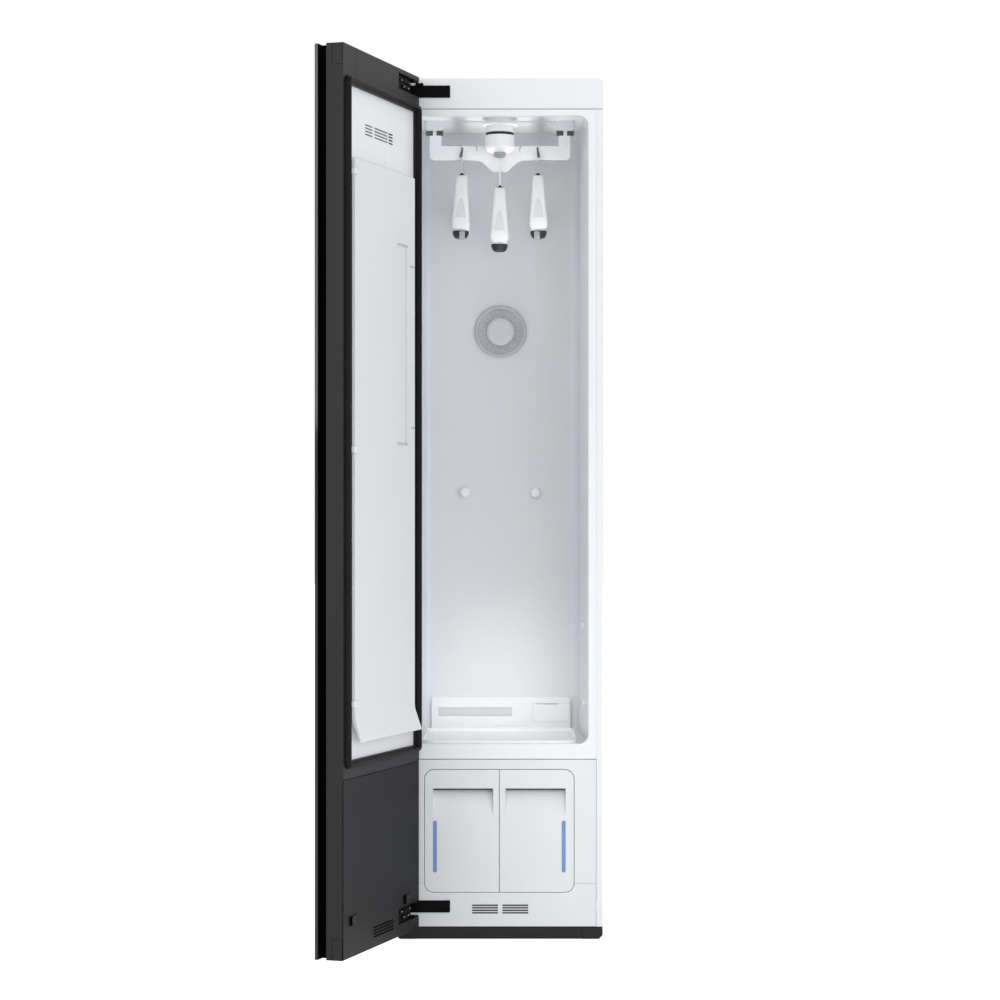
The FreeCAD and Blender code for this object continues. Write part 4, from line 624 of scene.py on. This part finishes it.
# Tinted glass, polished: near black with a hard gloss.
tinted_glass = surface("tinted_door_glass", "#0c0c0e", "#0f0f11", 0.06, 30.0, 0.004, 400.0, 0.01)
finished(tinted_glass, "door_glass")
# Dark grey ABS with a fine etched satin of 1 mm.
door_abs = surface("dark_grey_satin_abs", "#1a1a1c", "#1e1e20", 0.5, 1.0, 0.015, Specular_IOR_Level=0.25)
finished(door_abs, "door_frame")
# The same ABS in black, for the panel below the white one.
cover_abs = surface("black_satin_abs", "#0f0f11", "#131315", 0.5, 1.0, 0.015, Specular_IOR_Level=0.15)
softened("door_lower_panel", "door", cover_abs, 0.4)
softened("door_corner_caps", "door", door_abs, 0.4)
finished(inner_abs, "door_liner")

# Painted shade in the grip groove: a black lining, which takes nearly all light, for its deep shade.
black_shade_and_hairline = surface("black_painted_shade_and_hairlines", "#030303", "#050505", 0.9, 0.6, 0.02, Specular_IOR_Level=0.05)
groove = [(221.5, -304.0), (197.5, -304.0), (197.5, -322.0), (221.9, -322.0), (221.9, -321.7),
          (197.8, -321.7), (197.8, -304.3), (221.5, -304.3)]
made("grip_groove_painted_shade", "door", black_shade_and_hairline, [opened(slab(groove, door_levels, 0.05, "xy"))])

# Joints between the mouldings: hairlines 0.7 mm wide that stand 0.1 mm proud so that they show.
# The corner caps have one round their edge too.
line_wide = 0.7
hairlines = [(150.4, 150.4 + line_wide, 1772, 1846), (-221, 221, 386.0, 386.0 + line_wide),
             (62, 62 + line_wide, 30, 74)]
lines = [opened(slab(rectangle(*line), (door_inner - 0.3, door_inner + 0.1), 0.05)) for line in hairlines]
cap_outer, cap_inner = -292, -270
for low, high in ((29.5, 72), (1804, 1846.5)):
    for line in ((cap_outer, cap_outer + line_wide, low, high),
                 (cap_inner - line_wide, cap_inner, low, high),
                 (cap_outer, cap_inner, low, low + line_wide),
                 (cap_outer, cap_inner, high - line_wide, high)):
        lines.append(opened(slab(rectangle(*line), (221.3, 221.9), 0.05, "yz")))
made("door_hairlines", "door", black_shade_and_hairline, lines)

# The vents of the lower panel and the narrow block of the white one open into the dark of the door.
low_vents, high_vents, dash_tall = 50.1 + 6.2 * np.arange(4), 1682.3 + 6.4 * np.arange(4), 2.6
dash_levels = (door_inner - 5.4, door_inner - 4.9)
vents = [slab(rectangle(-64.3, 52.3, z, z + 3.2), (door_inner - 2.9, door_inner - 1.6), 0.05)
         for z in low_vents]
vents += [slab(rectangle(-72, -52, z, z + dash_tall), dash_levels, 0.05) for z in high_vents]
made("door_vents", "door", black_shade_and_hairline, [opened(vent) for vent in vents])
# The two wide blocks have needled polyester filter cloth close behind them: grey, matt and fuzzy.
cloth = surface("grey_filter_cloth", "#77787b", "#6d6e71", 0.9, 0.8, 0.05)
filters = [slab(rectangle(left, right, z, z + dash_tall), dash_levels, 0.05)
           for z in high_vents for left, right in ((46.5, 87), (-40, 34))]
made("door_filter_cloth", "door", cloth, [opened(strip) for strip in filters])

# A low rest for a hook is moulded on the white panel.
rest = slab(corners(rectangle(-29, -21, 1640, 1660), 2.5, 3), (door_inner - 5.2, door_inner - 1), 1.0)
made("door_hook_rest", "door", inner_abs, [opened(rest)])


# ---- Door seal -----------------------------------------------------------------------------------
# The magnetic seal pushes into a channel round the white panel: a soft bellows with a flat ridge
# that holds the magnet strip.

def carried(section, outline):
    """A section carried round a closed outline in the XZ plane. A section point (u, y) stands u outside
    the outline, at the depth y."""
    rows = [np.insert(drawn_in(outline, -u), 1, y, 1) for u, y in section]
    grid = np.stack(rows)
    return np.concatenate([grid, grid[:, :1]], 1), False


# Black soft PVC, matt with a faint sheen along its ridge.
seal_skin = surface("black_soft_pvc", "#060607", "#09090a", 0.5, 2.0, 0.02, Specular_IOR_Level=0.15)
seal_line = corners(rectangle(-206, 206, 414.5, 1777.5), 8.0, 6)
seal_section = corners([(-7.4, 0), (-7.4, 5.2), (-4.6, 6.6), (-3.6, 11.2), (3.6, 11.2), (4.6, 6.6),
                        (7.4, 5.2), (7.4, 0)], [0, 1.6, 1.2, 1.8, 1.8, 1.2, 1.6, 0], 4)
seal_section[:, 1] += door_inner
seal = made("door_seal_bellows", "door", seal_skin, [opened(carried(seal_section, seal_line))])
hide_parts("door_gasket")


# ---- Press plate ---------------------------------------------------------------------------------
# A light sandwich panel hinged inside the door, which presses a pair of trousers flat. Its lower
# edge flares out to guide the cloth in, and a low rail near its opening edge stiffens it.

# Laminated polyester film over foam board: satin, very slightly warm.
press_skin = surface("white_laminate", "#ececee", "#e8e8ea", 0.35, 6.0, 0.015, 200.0)
softened("press_plate", "press_leaf", press_skin, 0.8)

# The rail: two end bars, the thin bar between them and two short tabs, each with its height.
press_face = door_inner + 8.0
rail_parts = (((-127, -67, 1473, 1478), 1.6), ((-127, -67, 1058, 1063), 1.6),
              ((-119, -116, 1060, 1476), 0.9), ((-169, -142, 1434, 1438), 1.4),
              ((-169, -150, 1094, 1098), 1.4))
rail = [slab(corners(rectangle(*box), 1.2, 2), (press_face - 0.5, press_face + tall), 0.6)
        for box, tall in rail_parts]
made("press_plate_rail", "press_leaf", grey_abs_and_shade, [opened(part) for part in rail])


# ---- Moving hanger bar ---------------------------------------------------------------------------
# A white moulded bar that shakes from side to side: two necks pass through slots in the ceiling to
# a carriage on steel rods, which a crank drives. Grey guide plates line the slots.

# The bar, the cup and the hangers take the case's white ABS drawn brighter than it is, as painted
# light, with a soft gloss.
brightened_white_abs = surface("white_abs_with_painted_light", "#ffffff", "#fbfbfd", 0.36, 1.4, 0.01)
bar_y = -21.0
bar_top, bar_bottom, arm_top = 1737.2, 1705.2, 1759.7
bar_half, arm_width, bar_thick = 157.0, 26.0, 12.4
dip_top, dip_foot, dip_bottom = 43, 15, bar_bottom - 26.5
bar_outline = corners(
    [(-bar_half, arm_top), (-bar_half, bar_bottom), (-dip_top, bar_bottom), (-dip_foot, dip_bottom),
     (dip_foot, dip_bottom), (dip_top, bar_bottom), (bar_half, bar_bottom), (bar_half, arm_top),
     (bar_half - arm_width, arm_top), (bar_half - arm_width, bar_top), (arm_width - bar_half, bar_top),
     (arm_width - bar_half, arm_top)], [4.8, 11, 16, 14, 14, 16, 11, 4.8, 4.8, 2.5, 2.5, 4.8], 8)
bar_levels = (bar_y - bar_thick / 2, bar_y + bar_thick / 2)
made("hanger_bar_skin", "shaking_bar", brightened_white_abs, [slab(bar_outline, bar_levels, 4.2, "xz", 5)])
finished(brightened_white_abs, "hanger_bar")
# Machined acetal: a dense mid grey with a waxy satin.
guide_grey = surface("mid_grey_acetal", "#7a7b7e", "#828386", 0.45, 1.0, 0.01)
finished(guide_grey, "bar_guides")
finished(bright_steel, "shake_crank")
# Two slanting notches for hooks are drawn as grey marks on the bar: painted shade in place of cuts.
notch_shade_marks = [slab([(x - 2, bar_top - 0.6), (x + 2, bar_top - 0.6), (x + 0.8 - lean, bar_top - 13),
               (x - 0.8 - lean, bar_top - 13)], (bar_y - 6.35, bar_y - 5), 0.1)
         for x, lean in ((-52, -1.0), (46, 3.0))]
made("hanger_bar_painted_notch_shade", "shaking_bar", grey_abs_and_shade, notch_shade_marks)


# ---- Turning hook --------------------------------------------------------------------------------
# A cup under the ceiling hides the drive of the middle hook: a thin white disc with its sleeve, a black
# neck, the cup, and a grey collar forked round the cross pin.

twist_y = -64.0
cup_bottom = 1716.3
flange = corners([(26, ceiling), (26, 1760), (31, 1760), (29, 1769), (29, 1774.5), (40, 1775.5),
                  (40, 1778.5), (29, 1781), (28, ceiling)], [0, 0.5, 1, 6, 1.5, 1, 1, 4, 0], 5)
flange = np.vstack([flange, flange[:1]])
cup = corners([(0, cup_bottom), (32.2, cup_bottom), (32.6, 1754), (30.6, 1754), (0, 1753)],
              [0, 14, 0.8, 0.5, 0], 12)
made_cup = made("turning_cup", "cabinet", brightened_white_abs,
                [turned(flange, (0, twist_y, 0), "z", 96), turned(cup, (0, twist_y, 0), "z", 96)])
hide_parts("twist_housing")
finished(black_nylon_and_shade, "twist_drive")

# Moulded nylon in mid grey, drawn lighter than its own grey as painted light in the shade under the
# cup, with a dry satin.
grey_nylon_with_painted_light = surface("grey_nylon_with_painted_light", "#b0b1b4", "#a8a9ad", 0.45, 1.2, 0.015)
finished(grey_nylon_with_painted_light, "twist_collar")


# ---- Hangers -------------------------------------------------------------------------------------
# Three thick moulded hangers, seen end on. Each has falling shoulders, a grey grip pad on the front
# one with a soft foot under its tip, and a chromed wire hook out of a black neck ring.

hanger_half = 152.0


def shoulder(share):
    """The hanger at a share s of its half length, front negative: its top falls by 124 |s|^1.38 in front
    and 107 |s|^1.38 behind, its height is 38 - 19 |s|^3.2 and its width 25 + w (|s| / 0.93)^1.5, where w is
    14 in front and 6 behind."""
    a = np.abs(share)
    top = -np.where(share < 0, 124.0, 107.0) * a ** 1.38
    return top, 38 - 19 * a ** 3.2, 25 + np.where(share < 0, 14.0, 6.0) * np.minimum(a / 0.93, 1) ** 1.5


def hanger_shell(place):
    """The hanger's body: a section |2x / wide|^n + |2z / tall|^n = 1 at each share s, n = 5 - 2.4 |s|, which
    shrinks over the last twentieth by the cosine of an angle whose sine runs from 0 to 1 at the tip."""
    tip = np.linspace(0, np.pi / 2, 9)[1:]
    share = np.concatenate([np.linspace(0, 0.95, 24), 0.95 + 0.05 * np.sin(tip)])
    shrink = np.concatenate([np.ones(24), np.cos(tip)])
    share, shrink = np.concatenate([-share[:0:-1], share]), np.concatenate([shrink[:0:-1], shrink])
    top, tall, wide = shoulder(share)
    t = np.linspace(0, 2 * np.pi, 49)
    power = 2 / (5 - 2.4 * np.abs(share))[:, None]
    across = np.sign(np.cos(t)) * np.abs(np.cos(t)) ** power
    up = np.sign(np.sin(t)) * np.abs(np.sin(t)) ** power
    x = (shrink * wide / 2)[:, None] * across
    z = (top - tall / 2)[:, None] + (shrink * tall / 2)[:, None] * up
    y = np.broadcast_to((share * hanger_half)[:, None], x.shape)
    return np.stack([x, y, z], -1) + np.asarray(place, float), False


def laid(place, shares, width, rise, rows=20):
    """A patch laid on a hanger's top, over a range of shares. At a share v of its length it is as wide
    as the function says, and it stands the rise above the surface, with its rim sunk 0.6 mm into it."""
    v = np.linspace(0, 1, rows)
    share = shares[0] + (shares[1] - shares[0]) * v
    top, tall, wide = shoulder(share)
    u = np.array([-1, -0.97, -0.9, -0.7, -0.45, -0.2, 0, 0.2, 0.45, 0.7, 0.9, 0.97, 1])
    x = width(v)[:, None] * u
    power = (5 - 2.4 * np.abs(share))[:, None]
    part = (1 - np.abs(2 * x / wide[:, None]) ** power) ** (1 / power)
    z = (top - tall / 2)[:, None] + (tall / 2)[:, None] * part
    rim = (np.abs(u) > 0.98)[None, :] | ((v == 0) | (v == 1))[:, None]
    z = z + np.where(rim, -0.6, rise)
    y = np.broadcast_to((share * hanger_half)[:, None], x.shape)
    return np.stack([x, y, z], -1) + np.asarray(place, float), False


def bent_wire(path, radius):
    """A round wire along a path in a YZ plane: at each point a circle stands across the path. The radius
    is one value or one for each point."""
    path = np.asarray(path, float)
    way = np.gradient(path, axis=0)
    way /= np.linalg.norm(way, axis=1)[:, None]
    across = np.array([1.0, 0, 0])
    side = np.cross(way, across)
    t = np.linspace(0, 2 * np.pi, 21)
    r = np.broadcast_to(radius, len(path))[:, None, None]
    circle = np.cos(t)[None, :, None] * across + np.sin(t)[None, :, None] * side[:, None]
    return path[:, None] + r * circle, True


# Thermoplastic rubber, as moulded: a soft matt grey for the pads, and charcoal or navy for the feet.
pad_grey = surface("light_grey_soft_pad", "#ecedef", "#e8e9eb", 0.6, 1.0, 0.02)
foot_rubber = surface("charcoal_soft_foot", "#26262a", "#2d2d31", 0.5, 1.0, 0.02)
foot_navy = surface("navy_soft_foot", "#1a1a28", "#20202f", 0.5, 1.0, 0.02)
# Chromed 3.4 mm wire: bright, hard gloss.
chrome = surface("chromed_wire", "#e4e5e7", "#dcdde0", 0.1, 1.0, 0.003, 90.0, 0.02, Metallic=1.0)
# Stamped spring steel, greyer and less bright.
clip_steel = surface("stamped_spring_steel", "#9fa1a4", "#96989b", 0.3, 1.0, 0.01, Metallic=1.0)
# Moulded nylon in dark grey, with a dry satin.
sleeve_nylon = surface("dark_grey_nylon", "#5c5d60", "#656669", 0.45, 1.0, 0.015)

# Node, body, place in plan, neck, middle and half width of the hook's bend, and side of the cabinet.
hanger_x = 85.0
hanger_places = (("hanger_left", "left_hanger", -hanger_x, bar_y, 1672.4, 1723.5, 15.7, -1),
                 ("hanger_right", "right_hanger", hanger_x, bar_y, 1672.4, 1723.5, 15.7, 1),
                 ("hanger_middle", "middle_hanger", 0.0, twist_y, 1639.5, 1708.5, 4.0, 0))
pad_width, wire_radius, foot_drop, foot_tall = 12.2, 1.7, 157.0, 17
for node, body, x, y, neck, bend_z, bend, lean in hanger_places:
    place = (x, y, neck)
    moulding = made(node + "_moulding", body, brightened_white_abs, [hanger_shell(place)])
    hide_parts(node)
    pad = laid(place, (-0.60, -0.93), lambda v: pad_width * np.sqrt(np.clip(v, 0.02, 1)), 0.35)
    made(node + "_grip_pad", body, pad_grey, [pad])
    root = [(x, y, neck - 3), (x, y, neck + 8), (x, y - bend, bend_z - bend - 6),
            (x, y - bend, bend_z + bend), (x, y + bend, bend_z + bend), (x, y + bend, bend_z - 0.6 * bend)]
    bow = corners(root, [0, 4, 6, bend * 0.96, bend * 0.96, 0], 10)
    wire = made(node + "_wire", body, chrome, [bent_wire(bow, wire_radius)])
    collar = corners([(0, -3), (3.6, -3), (3.6, 3.6), (2, 4.4), (0, 4.4)], [0, 1, 1.4, 0.5, 0])
    saddle = laid((x, y, neck), (-0.022, 0.022), lambda v: 6.8 + 0 * v, 0.8, 6)
    fittings = made(node + "_neck_ring", body, black_nylon_and_shade, [turned(collar, place, "z", 40), saddle])
    low = neck - foot_drop
    end = y - hanger_half + 16
    foot = corners([(0, low), (9.5, low), (14.5, low + 3), (17.8, low + 11), (18, low + foot_tall),
                    (0, low + foot_tall)], [0, 6, 5, 4, 1.5, 0])
    foot_piece = made(node + "_foot", body, foot_navy if lean == 0 else foot_rubber,
                      [turned(foot, (x, end, 0), "z", 64)])
    for piece in (wire, fittings, foot_piece):
        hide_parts(node + "_fittings")
    if lean:
        middle = x - 3.5 * lean
        clip = corners(rectangle(middle - 6, middle + 6, low - 1.5, low + 15), 1.5, 3)
        made(node + "_clip", body, clip_steel, [slab(clip, (end - 17.9, end - 13), 0.5)])
        over = np.linspace((x + 2.0 * lean, y - bend, bend_z - 13.5),
                           (x - 1.5 * lean, y - bend, bend_z + 8), 8)
        hood = bent_wire(over, np.linspace(3.4, 1.9, 8))
        made(node + "_sleeve", body, sleeve_nylon, [hood])

# A white bead sits half way up the middle hanger's wire.
bead_radius, bead_tall = 3.4, 7.0
bead = corners([(0, -bead_tall / 2), (bead_radius, -bead_tall / 2), (bead_radius, bead_tall / 2),
                (0, bead_tall / 2)], [0, 1.5, 1.5, 0])
made("middle_wire_bead", "middle_hanger", brightened_white_abs, [turned(bead, (0, twist_y - 3.5, 1688), "z", 32)])


# ---- Machine space -------------------------------------------------------------------------------
# Behind the tanks stand the compressor, two finned heat exchangers, the blower with its scroll and
# duct, the boiler, two pumps and the control board in its box.

# Stoved enamel on pressed steel: black, smooth and rather glossy.
black_enamel = surface("black_stoved_enamel", "#151516", "#1b1b1c", 0.3, 4.0, 0.03)
finished(black_enamel, "compressor")
# Rolled aluminium sheet for the fins: pale, with a soft mill sheen.
aluminium = surface("plain_aluminium", "#b9bcc0", "#aaadb2", 0.35, 3.0, 0.02, Metallic=1.0)
finished(aluminium, "heat_exchangers")
# Filled polypropylene, as moulded: a plain mid grey.
grey_pp = surface("grey_polypropylene", "#9a9da1", "#929599", 0.5, 1.6, 0.02)
finished(grey_pp, "shake_motor", "blower_housing", "blower_motor", "steam_generator", "water_pumps",
         "blower_wheel")
finished(white_abs, "control_board")
# Extruded silicone: milky, slightly yellow, with a dull skin.
silicone = surface("milky_silicone", "#d9d8d2", "#cfcdc6", 0.45, 3.0, 0.02)
finished(silicone, "steam_hose")
